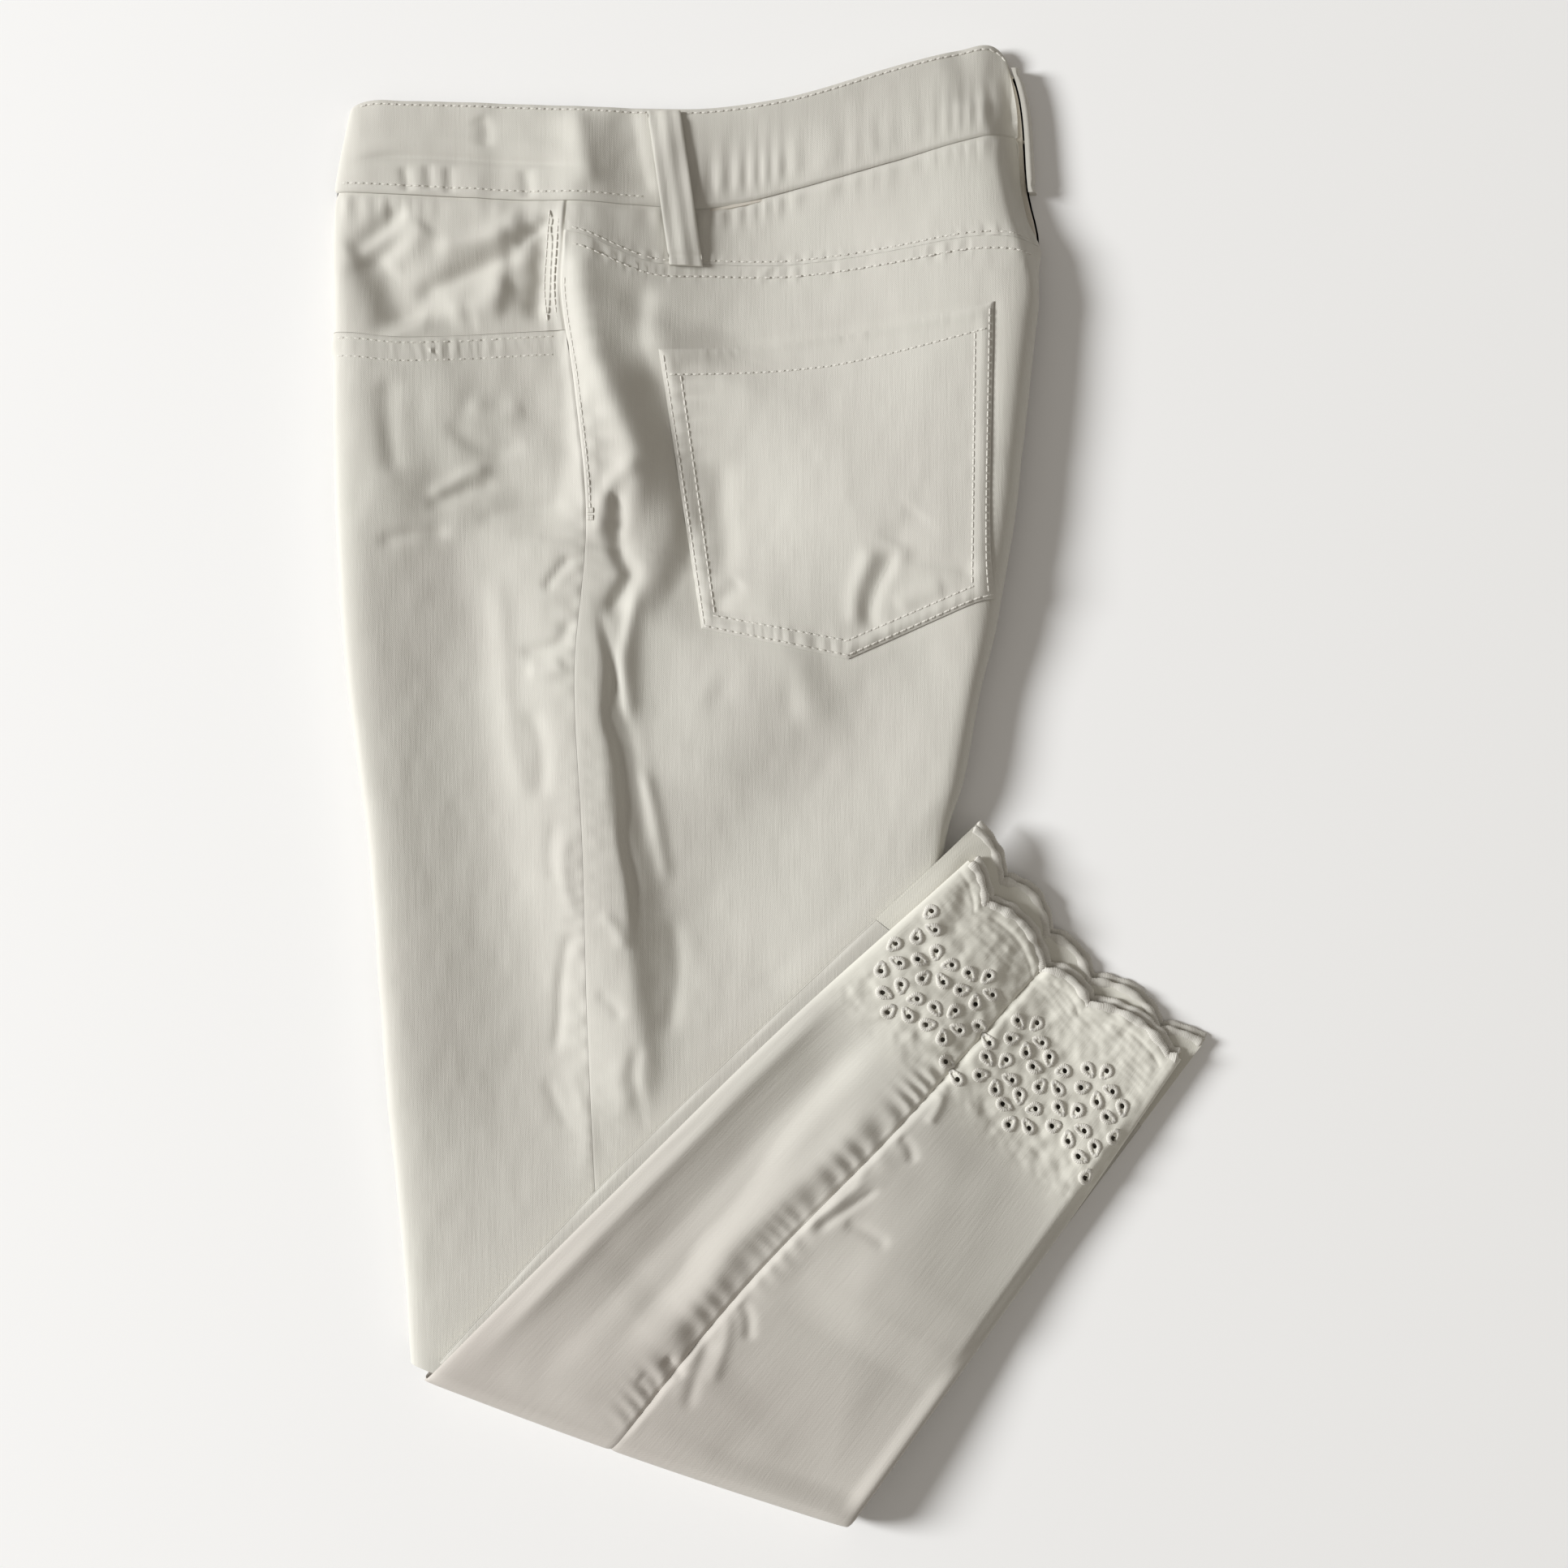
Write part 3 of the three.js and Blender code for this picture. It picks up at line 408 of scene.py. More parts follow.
def smooth_course(course, parts=5):
    """A Catmull-Rom curve through the points of a course."""
    points = np.array(course, float)
    ends = [2 * points[0] - points[1], 2 * points[-1] - points[-2]]
    around = np.vstack([ends[0], points, ends[1]])
    curve = []
    for before, start, end, after in zip(around, around[1:], around[2:], around[3:]):
        for t in np.arange(parts) / parts:
            rise = (end - before) * t
            bend = (2 * before - 5 * start + 4 * end - after) * t * t
            turn = (3 * start - before - 3 * end + after) * t ** 3
            curve.append(0.5 * (2 * start + rise + bend + turn))
    return np.array([*curve, points[-1]])


def beside(course, x, y):
    """How far places lie from a course, to which side, and how far along it, as a share of its length."""
    start, run = course[:-1], np.diff(course, axis=0)
    length = np.hypot(*run.T)
    reached = np.concatenate([[0], np.cumsum(length)])
    to_x, to_y = x[:, None] - start[:, 0], y[:, None] - start[:, 1]
    t = np.clip((to_x * run[:, 0] + to_y * run[:, 1]) / length ** 2, 0, 1)
    away = np.hypot(to_x - t * run[:, 0], to_y - t * run[:, 1])
    nearest = away.argmin(1)
    pick = np.arange(len(x)), nearest
    side = np.sign(run[nearest, 0] * to_y[pick] - run[nearest, 1] * to_x[pick])
    return away[pick], side, (reached[nearest] + t[pick] * length[nearest]) / reached[-1]


def creased(creases, x, y, fade=CREASE_FADE):
    """The height that creases add to a surface at places in plan."""
    x, y = spread(x, y)
    total = np.zeros(x.shape)
    depth = sizes().fold_depth if fade else 1
    for crease in creases:
        course = smooth_course(crease.course)
        reach = 2.5 * max(crease.left, crease.right)
        low, high = course.min(0) - reach, course.max(0) + reach
        near = (x > low[0]) & (x < high[0]) & (y > low[1]) & (y < high[1])
        if not near.any():
            continue
        away, side, along = beside(course, x[near], y[near])
        width = np.where(side > 0, crease.left, crease.right)
        ends = smooth(along / fade) * smooth((1 - along) / fade) if fade else 1
        total[near] += depth * crease.height * ends * np.exp(-((away / width) ** 2))
    return total


def uneven(x, y, scale_x, scale_y, seed):
    """Smooth unevenness from -1 to 1 with hollows and rises of a given size."""
    size = 64
    heights = np.random.default_rng(seed).uniform(-1, 1, (size, size))
    u, v = np.asarray(x, float) / scale_x, np.asarray(y, float) / scale_y
    left, low = np.floor(u).astype(int), np.floor(v).astype(int)
    across, up = smooth(u - left), smooth(v - low)
    lower, upper = (
        mix(heights[row % size, left % size], heights[row % size, (left + 1) % size], across)
        for row in (low, low + 1)
    )
    return mix(lower, upper, up)


def puckers(along, away, pitch, reach, height, seed):
    """Ripples square to a seam, uneven in pitch and depth, that die out over a distance from it."""
    beat = along / pitch + 0.55 * np.sin(along / (1.9 * pitch) + seed)
    beat = beat + 0.3 * np.sin(along / (0.83 * pitch))
    depth = 0.65 + 0.35 * np.sin(along / (2.7 * pitch) + 2.1 * seed)
    rise = 0.3 * reach
    spread_out = np.clip(away / rise, 0, 1) * ridge(np.clip(away - rise, 0, None), 0, 0.6 * reach, 1)
    return height * depth * np.sin(2 * math.pi * beat) * spread_out * (away >= 0)


# ---- the forms that the cloth lies on ------------------------------------------------------------
front_crease, outseam, back_crease, stack_height = (
    SECTIONS.line(name) for name in ("front", "seam", "back", "height")
)
waist_top, band_seam, yoke_seam, pocket_opening = (
    CROSS_LINES.line(name) for name in ("top", "band", "yoke", "pocket")
)


def moved(line, offset):
    return lambda place: line(place) + offset


def crease_end(side, along):
    """Where a crease of the right lower leg ends, at the knee fold for 0 and at the hem's line for 1."""
    return np.array([LEG.at(side + "_x", along), LEG.at(side + "_y", along)])


def knee_line(x):
    front, back = crease_end("front", 0), crease_end("back", 0)
    share = (x - front[0]) / (back[0] - front[0])
    return mix(front[1], back[1], share) - KNEE_BOW * np.sin(math.pi * share)


def past_flap(x, y):
    """How far a place lies beyond the lower legs' front crease, to the upper left of it."""
    first = crease_end("front", 0)
    run = unit(crease_end("front", 1) - first)
    return run[0] * (y - first[1]) - run[1] * (x - first[0])


def across_at(x, y):
    share = (x - front_crease(y)) / (back_crease(y) - front_crease(y))
    return np.clip(2 * share - 1, -1, 1)


def crown(across, rounding):
    return np.sqrt(np.clip(1 - np.abs(across) ** rounding, 0, None))


def body_relief(x, y):
    """Creases of the upper body, which level out where the lower legs press on them."""
    beyond = past_flap(x, y) - FAR_REACH
    relief = creased(BODY_CREASES, x, y)
    upper_front = ramp(x, -200, -185) * ramp(x, -88, -96) * ramp(y, 60, 120)
    lumps = 0.5 * uneven(x + 0.3 * y, y, 19, 36, 3) + 0.24 * uneven(x, y - 0.4 * x, 9, 15, 4)
    lumps = lumps * (0.55 + 0.7 * upper_front) + 0.1 * uneven(x, y, 5, 9, 5)
    rises = ramp(beyond, 0, COVER_BLEND) * (np.maximum(relief, 0) + lumps)
    falls = ramp(beyond, -COVER_EDGE, COVER_BLEND - COVER_EDGE) * np.minimum(relief, 0)
    return rises + falls * mix(0.5, 1, ramp(band_seam(x) - y, -32, 12))


def body_skin(x, y):
    x, y = spread(x, y)
    across = across_at(x, y)
    at_waist = ramp(y, WAIST_TURNS_FROM, WAIST_TURNS_FROM + WAIST_BLEND)
    rounding = np.where(across > 0, mix(BACK_ROUNDING, WAIST_ROUNDING, at_waist), FRONT_ROUNDING)
    return at_height(x, y, stack_height(y) * mix(CREASE_LEVEL, 1, crown(across, rounding)))


def unit(vectors):
    return vectors / np.maximum(np.linalg.norm(vectors, axis=-1, keepdims=True), 1e-12)


def grid_normals(points):
    """Normals of a grid of points, on the side that faces up over most of it."""
    normals = unit(np.cross(np.gradient(points, axis=1), np.gradient(points, axis=0)))
    return normals if normals[..., 2].mean() > 0 else -normals


def lifted(surface, a, b, height, step=0.3):
    """Places on a surface of two parameters, moved out along its normals."""
    return surface(a, b) + surface_normals(surface, a, b, step) * height[..., None]


def surface_normals(surface, a, b, step):
    run_a = surface(a + step, b) - surface(a - step, b)
    run_b = surface(a, b + step) - surface(a, b - step)
    return unit(np.cross(run_a, run_b))


def bed_height(x, y):
    past = (x - back_crease(y) + FALL_START) / FALL
    return (stack_height(y) + REST_GAP) * (1 - smooth(past))


def leg_place(share, along, far=0.0):
    front_x, front_y = LEG.at("front_x", along), LEG.at("front_y", along)
    back_x, back_y = LEG.at("back_x", along), LEG.at("back_y", along)
    length = np.hypot(front_x - back_x, front_y - back_y)
    out_x, out_y = (front_x - back_x) / length, (front_y - back_y) / length
    ahead, behind = LEG.at("out", along) * far, LEG.at("in", along) * far
    bow = KNEE_BOW * np.sin(math.pi * share) * np.clip(1 - along, 0, None) ** 4
    x = mix(front_x + out_x * ahead, back_x - out_x * behind, share)
    y = mix(front_y + out_y * ahead, back_y - out_y * behind, share) - bow
    return x, y


def leg_seam(along):
    return LEG.at("seam", np.minimum(along, 1))


def near_top(across, along):
    x, y = leg_place((across + 1) / 2, along)
    crease = NEAR_LEG * CREASE_LEVEL
    rounding = np.where(across > 0, BACK_ROUNDING, LEG_ROUNDING)
    return bed_height(x, y) + FAR_LEG + crease + (NEAR_LEG - crease) * crown(across, rounding)


def near_skin(across, along):
    """The right lower leg's outer face, from under the knee fold through its outermost line to the hem."""
    across, along = spread(across, along)
    turn = np.clip(along / NOSE_SHARE, -1, 1) * math.pi / 2
    on_nose = along < NOSE_SHARE
    x, y = leg_place((across + 1) / 2, np.where(on_nose, NOSE_SHARE * (1 - np.cos(turn)), along))
    half = near_top(across, np.full(along.shape, NOSE_SHARE)) / 2
    return at_height(x, y, np.where(on_nose, half * (1 + np.sin(turn)), near_top(across, along)))


def length_at(share):
    return mix(FRONT_LENGTH, BACK_LENGTH, share)


def hem_reach(scallops, share):
    """How far a scalloped hem reaches past its line at a share across the leg."""
    share = np.asarray(share, float)
    table = np.array(scallops)
    low = np.clip(np.searchsorted(table[:, 0], share) - 1, 0, len(table) - 2)
    t = np.clip((share - table[low, 0]) / (table[low + 1, 0] - table[low, 0]), 0, 1)
    arch = np.sin(math.pi * t) ** SCALLOP_FULLNESS
    return mix(table[low, 1], table[low + 1, 1], t) + table[low, 2] * arch


def seam_away(share, along):
    """How far a place on the lower leg lies from its outseam, towards the back crease above zero."""
    return (share - leg_seam(along)) * (HEM_WIDTH + KNEE_WIDENING * (1 - along))


def flap_relief(share, along):
    """Creases, puckers and drawn-in stitching of the right lower leg's outer face."""
    x, y = leg_place(share, along)
    to_hem = (1 - along) * length_at(share)
    away = seam_away(share, along)
    relief = creased(FLAP_CREASES, x, y)
    relief += puckers(to_hem, -away, 9, 13, 0.95, 1.3) * ramp(to_hem, 330, 270)
    relief += puckers(to_hem + 5, away, 13, 9, 0.4, 4.2)
    relief += ridge(away, 2.4, 2, 0.5) - ridge(away, 0, 1.1, 0.5)
    relief -= ridge(away, 0, np.where(away < 0, 10, 3.5), 1.5) * ramp(to_hem, 320, 260)
    relief += 0.2 * uneven(x - y, x + y, 16, 30, 7)
    rows = np.sin(2 * math.pi * (to_hem + 4 * uneven(x, y, 16, 16, 8)) / WORKED_ROW_PITCH)
    worked = 0.5 * uneven(x, y, 5, 5, 11) + 0.24 * uneven(x, y, 3, 3, 12)
    relief += ramp(to_hem, 96, 82) * (worked + 0.07 * rows * ramp(to_hem, 30, 22))
    relief += pads(share * HEM_WIDTH, to_hem)
    calm = smooth((across_margin(share) - 1.5) / np.where(share > 0.5, 5, 6))
    return relief * calm * ramp(along, 0.02, 0.07)


def pads(across, up):
    """Soft rises round the eyelets."""
    across, up = spread(across, up)
    total = np.zeros(across.shape)
    near = up < PADS_END
    for front, columns in ((True, FRONT_FLOWERS), (False, BACK_FLOWERS)):
        for hole_across, hole_up, _ in petals(columns, front):
            away = np.hypot(across[near] - hole_across, up[near] - hole_up)
            total[near] = np.maximum(total[near], ridge(away, 0, 3.1, 0.62))
    return total


def across_margin(share):
    """How far a place on a lower leg lies from the nearer crease."""
    return np.minimum(share, 1 - share) * HEM_WIDTH


# ---- meshes --------------------------------------------------------------------------------------
# Distances from a panel's edge at which its mesh is closer: at a seam, round a crease, and at neither.
EDGE_STEPS = np.array([0, 0.3, 0.7, 1.2, 1.8])
NO_STEPS = np.array([0])
TURN_STEPS = np.array([0, 0.05, 0.2, 0.5, 0.9, 1.5, 2.2, 3, 4, 5.2, 6.6])
LINE_TURNS = 12
Lines = namedtuple("Lines", "left right upper lower")


def graded(*zones, start=EDGE_STEPS, end=EDGE_STEPS):
    """Shares over the summed length of zones, each a length and the spacing in it, closer at both ends."""
    marks, reached, least_step = [], 0, 0.4
    for length, spacing in zones:
        count = max(1, round(length / spacing))
        marks.extend(reached + length * np.arange(count) / count)
        reached += length
    marks = np.array(marks)
    inner = marks[(marks > start[-1] + least_step) & (marks < reached - end[-1] - least_step)]
    return np.concatenate([start, inner, reached - end[::-1]]) / reached


def place_in(lines, share, down):
    """Places in plan inside four lines, two read along y and two along x."""
    x = mix(lines.left(0.0), lines.right(0.0), share)[None, :] + 0 * down[:, None]
    for _ in range(LINE_TURNS):
        y = mix(lines.upper(x), lines.lower(x), down[:, None])
        x = mix(lines.left(y), lines.right(y), share[None, :])
    return x, y


def make_object(name, vertices, faces, place, sharp=50):
    """A closed mesh of four-sided faces, its places on the cloth as its UV map. Edges that turn by more than
    some degrees look sharp."""
    used, faces = np.unique(faces, return_inverse=True)
    faces = faces.reshape(-1, 4)
    vertices, place = vertices[used], place[used]
    corners = vertices[faces]
    volume = np.einsum("ij,ij->", corners[:, 0], np.cross(corners[:, 1], corners[:, 2]))
    volume += np.einsum("ij,ij->", corners[:, 0], np.cross(corners[:, 2], corners[:, 3]))
    if volume < 0:
        faces = faces[:, ::-1]
    mesh = bpy.data.meshes.new(name)
    mesh.vertices.add(len(vertices))
    mesh.vertices.foreach_set("co", (vertices * MM).astype(np.float32).ravel())
    mesh.loops.add(faces.size)
    mesh.loops.foreach_set("vertex_index", faces.astype(np.int32).ravel())
    mesh.polygons.add(len(faces))
    mesh.polygons.foreach_set("loop_start", np.arange(0, faces.size, 4, dtype=np.int32))
    mesh.update(calc_edges=True)
    mesh.validate()
    layer = mesh.uv_layers.new(name="cloth")
    layer.uv.foreach_set("vector", place[faces.ravel()].astype(np.float32).ravel())
    mesh.shade_smooth()
    mesh.set_sharp_from_angle(angle=math.radians(sharp))
    piece = bpy.data.objects.new(name, mesh)
    bpy.context.scene.collection.objects.link(piece)
    return piece


def slab(name, levels, place, kept=None):
    """A closed body on a grid. Its levels run from the top face to the bottom face, and those between shape
    its sides. Cells that aren't kept are left out as holes."""
    rows, columns = levels[0].shape[:2]
    size = rows * columns
    index = np.arange(size).reshape(rows, columns)
    kept = np.ones((rows - 1, columns - 1), bool) if kept is None else kept
    around = (index[:-1, :-1], index[1:, :-1], index[1:, 1:], index[:-1, 1:])
    top = np.stack([corner[kept] for corner in around], 1)
    edges = np.concatenate([top[:, [k, (k + 1) % 4]] for k in range(4)])
    rim = edges[~np.isin(edges[:, 0] * size + edges[:, 1], edges[:, 1] * size + edges[:, 0])]
    rim_points = np.unique(rim)
    in_rim = np.zeros(size, int)
    in_rim[rim_points] = np.arange(len(rim_points))
    middle = [level.reshape(-1, 3)[rim_points] for level in levels[1:-1]]
    starts = size + len(rim_points) * np.arange(len(middle) + 1)
    numbers = [rim, *(in_rim[rim] + start for start in starts[:-1]), rim + starts[-1]]
    walls = [
        np.stack([upper[:, 1], upper[:, 0], lower[:, 0], lower[:, 1]], 1)
        for upper, lower in zip(numbers, numbers[1:])
    ]
    vertices = np.concatenate([levels[0].reshape(-1, 3), *middle, levels[-1].reshape(-1, 3)])
    flat = place.reshape(-1, 2)
    places = np.concatenate([flat, *(flat[rim_points] for _ in middle), flat])
    faces = np.concatenate([top, top[:, ::-1] + starts[-1], *walls])
    return make_object(name, vertices, faces, places)


def tubes(name, rings, closed=False):
    """Many small tubes in one mesh. The rings are ordered by tube, ring along it and point round that."""
    count, along, sides = rings.shape[:3]
    index = np.arange(count * along * sides).reshape(count, along, sides)
    ahead = np.roll(index, -1, 1) if closed else index[:, 1:]
    here = index if closed else index[:, :-1]
    walls = np.stack([here, np.roll(here, -1, 2), np.roll(ahead, -1, 2), ahead], -1).reshape(-1, 4)
    faces = [walls]
    if not closed:
        for first in range(1, sides - 1, 2):
            fan = [0, first, first + 1, first + 2]
            faces += [index[:, 0][:, fan[::-1]], index[:, -1][:, fan]]
    round_share = np.broadcast_to(np.arange(sides) / sides, rings.shape[:3])
    along_share = np.broadcast_to(np.arange(along)[:, None], rings.shape[:3])
    place = in_plan(round_share * 4, along_share).reshape(-1, 2)
    return make_object(name, rings.reshape(-1, 3), np.concatenate(faces), place, sharp=80)


def turned_down(shares, length, first=0, last=0):
    """How far a panel turns down by its first and last edges, for each of its rows or columns."""
    reach, at = 2.2, shares * length
    first_drop = first * np.clip(1 - at / reach, 0, 1) ** 2
    return -first_drop - last * np.clip(1 - (length - at) / reach, 0, 1) ** 2


Drops = namedtuple("Drops", "left right top low", defaults=(0, 0, 0, 0))


def make_panel(node, lines, across, down, relief, turns=(True, True), drops=Drops(), lift=0.0, cloth=None):
    """A panel of the upper body, as a wall of cloth on the body's skin. Across and down are zones for its
    mesh, and it turns round the front crease, the back crease or both."""
    start, end = (TURN_STEPS if turn else EDGE_STEPS for turn in turns)
    shares, rows = graded(*across, start=start, end=end), graded(*down)
    width, length = (sum(zone[0] for zone in zones) for zones in (across, down))
    x, y = place_in(lines, shares, rows)
    base = body_skin(x, y)
    normal = grid_normals(base)
    edges = turned_down(rows, length, drops.top, drops.low)[:, None]
    edges = edges + turned_down(shares, width, drops.left, drops.right)
    outer = base + normal * (lift + body_relief(x, y) + edges + relief(x, y))[..., None]
    under = outer - normal * (cloth or measure("cloth"))
    piece = slab(node + "_cloth", [outer, under], in_plan(x, y))
    return settle(piece, "cream_denim", "denim", node)


# ---- stitches ------------------------------------------------------------------------------------
def resampled(course, pitch):
    """Even stations along a course: their places and the course's direction there."""
    course = np.array(course, float)
    reached = np.concatenate([[0], np.cumsum(np.hypot(*np.diff(course, axis=0).T))])
    count = max(1, int(reached[-1] / pitch))
    at = (np.arange(count) + 0.5) * reached[-1] / count
    place, ahead, behind = (
        np.stack([np.interp(at + shift, reached, part) for part in course.T], 1) for shift in (0, 0.5, -0.5)
    )
    return place, unit(ahead - behind)


STITCH_PROFILE = Table(
    "at width rise",
    (-1, 0.5, -0.4), (-0.85, 0.9, -0.1), (-0.4, 1, 0.1), (0.4, 1, 0.1), (0.85, 0.9, -0.1), (1, 0.5, -0.4),
)
STITCH_SIDES = 6


def stitch_rings(surface, place, direction, length, radius):
    """Rings of short threads lying on a surface that is read in plan, both ends dipping into the cloth."""
    at, flatness = STITCH_PROFILE.columns["at"], 0.8
    x = place[:, None, 0] + direction[:, None, 0] * at * length / 2
    y = place[:, None, 1] + direction[:, None, 1] * at * length / 2
    centre = surface(x, y)
    normal = surface_normals(surface, x, y, 0.4)
    along = unit(np.gradient(centre, axis=1))
    side = unit(np.cross(normal, along))
    angle = 2 * math.pi * np.arange(STITCH_SIDES) / STITCH_SIDES
    thick = radius * STITCH_PROFILE.columns["width"]
    rise = radius * STITCH_PROFILE.columns["rise"]
    ring = side[:, :, None] * np.cos(angle)[:, None] + normal[:, :, None] * flatness * np.sin(angle)[:, None]
    return (centre + normal * rise[:, None])[:, :, None] + ring * thick[:, None, None]


def stitched(name, courses, surface, pitch, length, radius):
    rings = [stitch_rings(surface, *resampled(course, pitch), length, radius) for course in courses]
    return tubes(name, np.concatenate(rings))


def crosswise(line, offset, start, end):
    x = np.linspace(start, end, max(2, int(abs(end - start) / 4)))
    return np.stack([x, line(x) + offset], 1)


def lengthwise(line, offset, start, end):
    return crosswise(line, offset, start, end)[:, ::-1]


def grooves(courses, x, y):
    """Stitching draws the cloth down along its courses."""
    depth, width = 0.1, 1.1
    return creased([Crease(-depth, width, width, course[::2]) for course in courses], x, y, fade=0)


def bar(centre, direction, length, rows, gap):
    """Courses of a bar tack: short rows side by side."""
    centre, half = np.array(centre), np.array(direction) * length / 2
    side = np.array([-direction[1], direction[0]]) * gap
    middles = [centre + side * (row - (rows - 1) / 2) for row in range(rows)]
    return [(middle - half, middle + half) for middle in middles]


# The courses of the topstitching: each line, how far the stitches lie from it, and where they start and end.
OPENING_COURSES = [crosswise(pocket_opening, offset, -199, outseam(208) - 6) for offset in (-2.6, -11)]
YOKE_COURSES = [crosswise(yoke_seam, offset, outseam(250) + 4, 121) for offset in (2, -5.6)]
BAND_COURSES = [crosswise(waist_top, -2, -190, 112), crosswise(band_seam, 4, -198, -58)]
OUTSEAM_COURSES = [lengthwise(outseam, 2.2, 236, 128)]
FACING_COURSES = [lengthwise(outseam, offset, 267, 216) for offset in (-3, -7.5)]


# ---- finishes ------------------------------------------------------------------------------------
def maths(operation, reflected=False):
    """A method that adds a Math node to a socket and to what it meets."""
    def method(self, other):
        values = (other, self) if reflected else (self, other)
        return self.finish.add("ShaderNodeMath", {"operation": operation}, dict(enumerate(values)))
    return method


class Value:
    """A socket in a finish. Arithmetic on it adds Math nodes."""

    def __init__(self, finish, socket):
        self.finish = finish
        self.socket = socket

    __add__, __radd__ = maths("ADD"), maths("ADD", reflected=True)
    __sub__, __rsub__ = maths("SUBTRACT"), maths("SUBTRACT", reflected=True)
    __mul__, __rmul__ = maths("MULTIPLY"), maths("MULTIPLY", reflected=True)

    def sine(self):
        return self.finish.add("ShaderNodeMath", {"operation": "SINE"}, {0: self})


class Finish:
    """A material made of nodes."""

    def __init__(self, name):
        self.material = bpy.data.materials.new(name)
        self.material.use_nodes = True
        self.tree = self.material.node_tree
        self.tree.nodes.clear()

    def add(self, kind, settings=None, inputs=None, output=0):
        node = self.tree.nodes.new(kind)
        for setting, value in (settings or {}).items():
            setattr(node, setting, value)
        for socket, value in (inputs or {}).items():
            if isinstance(value, Value):
                self.tree.links.new(value.socket, node.inputs[socket])
            else:
                node.inputs[socket].default_value = value
        return Value(self, node.outputs[output]) if node.outputs else node

    def cloth(self):
        """Places on the cloth in millimetres: both together, across it and along it."""
        place = self.add("ShaderNodeUVMap", {"uv_map": "cloth"})
        outputs = self.add("ShaderNodeSeparateXYZ", {}, {0: place}).socket.node.outputs
        return place, Value(self, outputs["X"]), Value(self, outputs["Y"])

    def noise(self, place, scale, detail=2.0):
        stretched = self.add("ShaderNodeVectorMath", {"operation": "MULTIPLY"}, {0: place, 1: scale})
        return self.add("ShaderNodeTexNoise", {}, {"Vector": stretched, "Scale": 1.0, "Detail": detail})

    def mixed(self, share, low, high):
        return self.add("ShaderNodeMix", {"data_type": "RGBA"}, {0: share, 6: low, 7: high}, output=2)

    def ranged(self, value, start, end):
        """Takes a value from one range, as its two ends, to another."""
        return self.add("ShaderNodeMapRange", {"clamp": True}, dict(enumerate((value, *start, *end))))

    def bump(self, height, strength, distance):
        return self.add("ShaderNodeBump", {}, {"Strength": strength, "Distance": distance, "Height": height})

    def surface(self, colour, roughness, normal, shine, sheen=0.0, spread=0.5):
        shader = self.add("ShaderNodeBsdfPrincipled", {}, {
            "Base Color": colour, "Roughness": roughness, "Normal": normal, "Specular IOR Level": shine,
            "Sheen Weight": sheen, "Sheen Roughness": spread,
        })
        self.add("ShaderNodeOutputMaterial", {}, {"Surface": shader})
        return self.material


TWILL_PITCH = 0.85


def denim(name, colour, tint, soft=0.0, rosier_and_shaded=None, worked=None):
    """Fine cream twill: a diagonal rib, uneven threads along the leg and faint clouding of its colour. It
    may turn rosier and darker further up the leg, partly the cloth's own tone and partly painted shade, and
    lighter where it is worked by the hem."""
    finish = Finish(name)
    place, across, along = finish.cloth()
    rib = ((across + along * 0.8) * (2 * math.pi / TWILL_PITCH)).sine()
    slub = finish.noise(place, (0.75, 0.03, 0), 3.0)
    thread = finish.noise(place, (2.2, 0.16, 0))
    grain = finish.noise(place, (2.6, 2.6, 0), 3.0)
    cloud = finish.noise(place, (0.016, 0.011, 0))
    tone = cloud * 0.9 + slub * 0.35 + thread * 0.25 + grain * 0.2 - 0.35
    shade = finish.mixed(tone, tint, colour)
    if rosier_and_shaded:
        # Rosier and darker towards the knee, in uneven patches: part the cloth's own tone, part painted
        # shade where the lower leg falls away.
        patches = finish.noise(place, (0.02, 0.012, 0), 1.0)
        painted_shade_up_leg = finish.ranged(along, (110, 340), (0, 0.75)) * (patches * 0.8 + 0.5)
        shade = finish.mixed(finish.ranged(along, (74, 100), (0.85, 0)), shade, worked)
        shade = finish.mixed(painted_shade_up_leg, shade, rosier_and_shaded)
    height = rib * 0.16 + slub * 0.9 + thread * 0.7 + grain * 0.55
    bump = finish.bump(height, 0.55 - soft, 0.00022)
    return finish.surface(shade, 0.84 + grain * 0.12, bump, sheen=0.08, spread=0.5, shine=0.25)


def satin(name, colour, tint):
    """Stitching thread, a little brighter and smoother than the cloth, with its twist across it."""
    finish = Finish(name)
    place, around, along = finish.cloth()
    twist = ((around * 0.5 + along) * 5.2).sine()
    grain = finish.noise(place, (1.7, 2.3, 0))
    bump = finish.bump(twist * 0.5 + grain, 0.5, 0.0002)
    shade = finish.mixed(grain, tint, colour)
    return finish.surface(shade, 0.62 + grain * 0.16, bump, sheen=0.1, spread=0.4, shine=0.3)


# ---- settings ------------------------------------------------------------------------------------
def length_setting(name, description, default):
    return bpy.props.FloatProperty(
        name=name, description=description, default=default, unit="LENGTH", precision=5,
    )


def colour_setting(name, description, default):
    return bpy.props.FloatVectorProperty(
        name=name, description=description, default=default, size=4, subtype="COLOR", min=0, max=1,
    )


class TrouserSizes(bpy.types.PropertyGroup):
    cloth: length_setting("Cloth", "Thickness of one layer of denim", 0.0015)
    fold_depth: bpy.props.FloatProperty(
        name="Fold depth", description="How deep the soft folds lie, as a share of their usual depth",
        default=1.35,
    )
    cell: length_setting("Cell", "Spacing of the mesh on plain cloth", 0.0018)
    band_cell: length_setting("Hem cell", "Spacing of the mesh on the embroidered hem", 0.00085)
    stitch_pitch: length_setting("Stitch pitch", "From one topstitch to the next", 0.0036)
    stitch_length: length_setting("Stitch length", "Length of one topstitch", 0.0031)
    stitch_radius: length_setting("Stitch radius", "Radius of the topstitching thread", 0.00045)
    eyelet_radius: length_setting("Eyelet radius", "Radius of an eyelet's hole", 0.0012)
    floor_size: length_setting("Floor", "Side of the floor", 6.0)


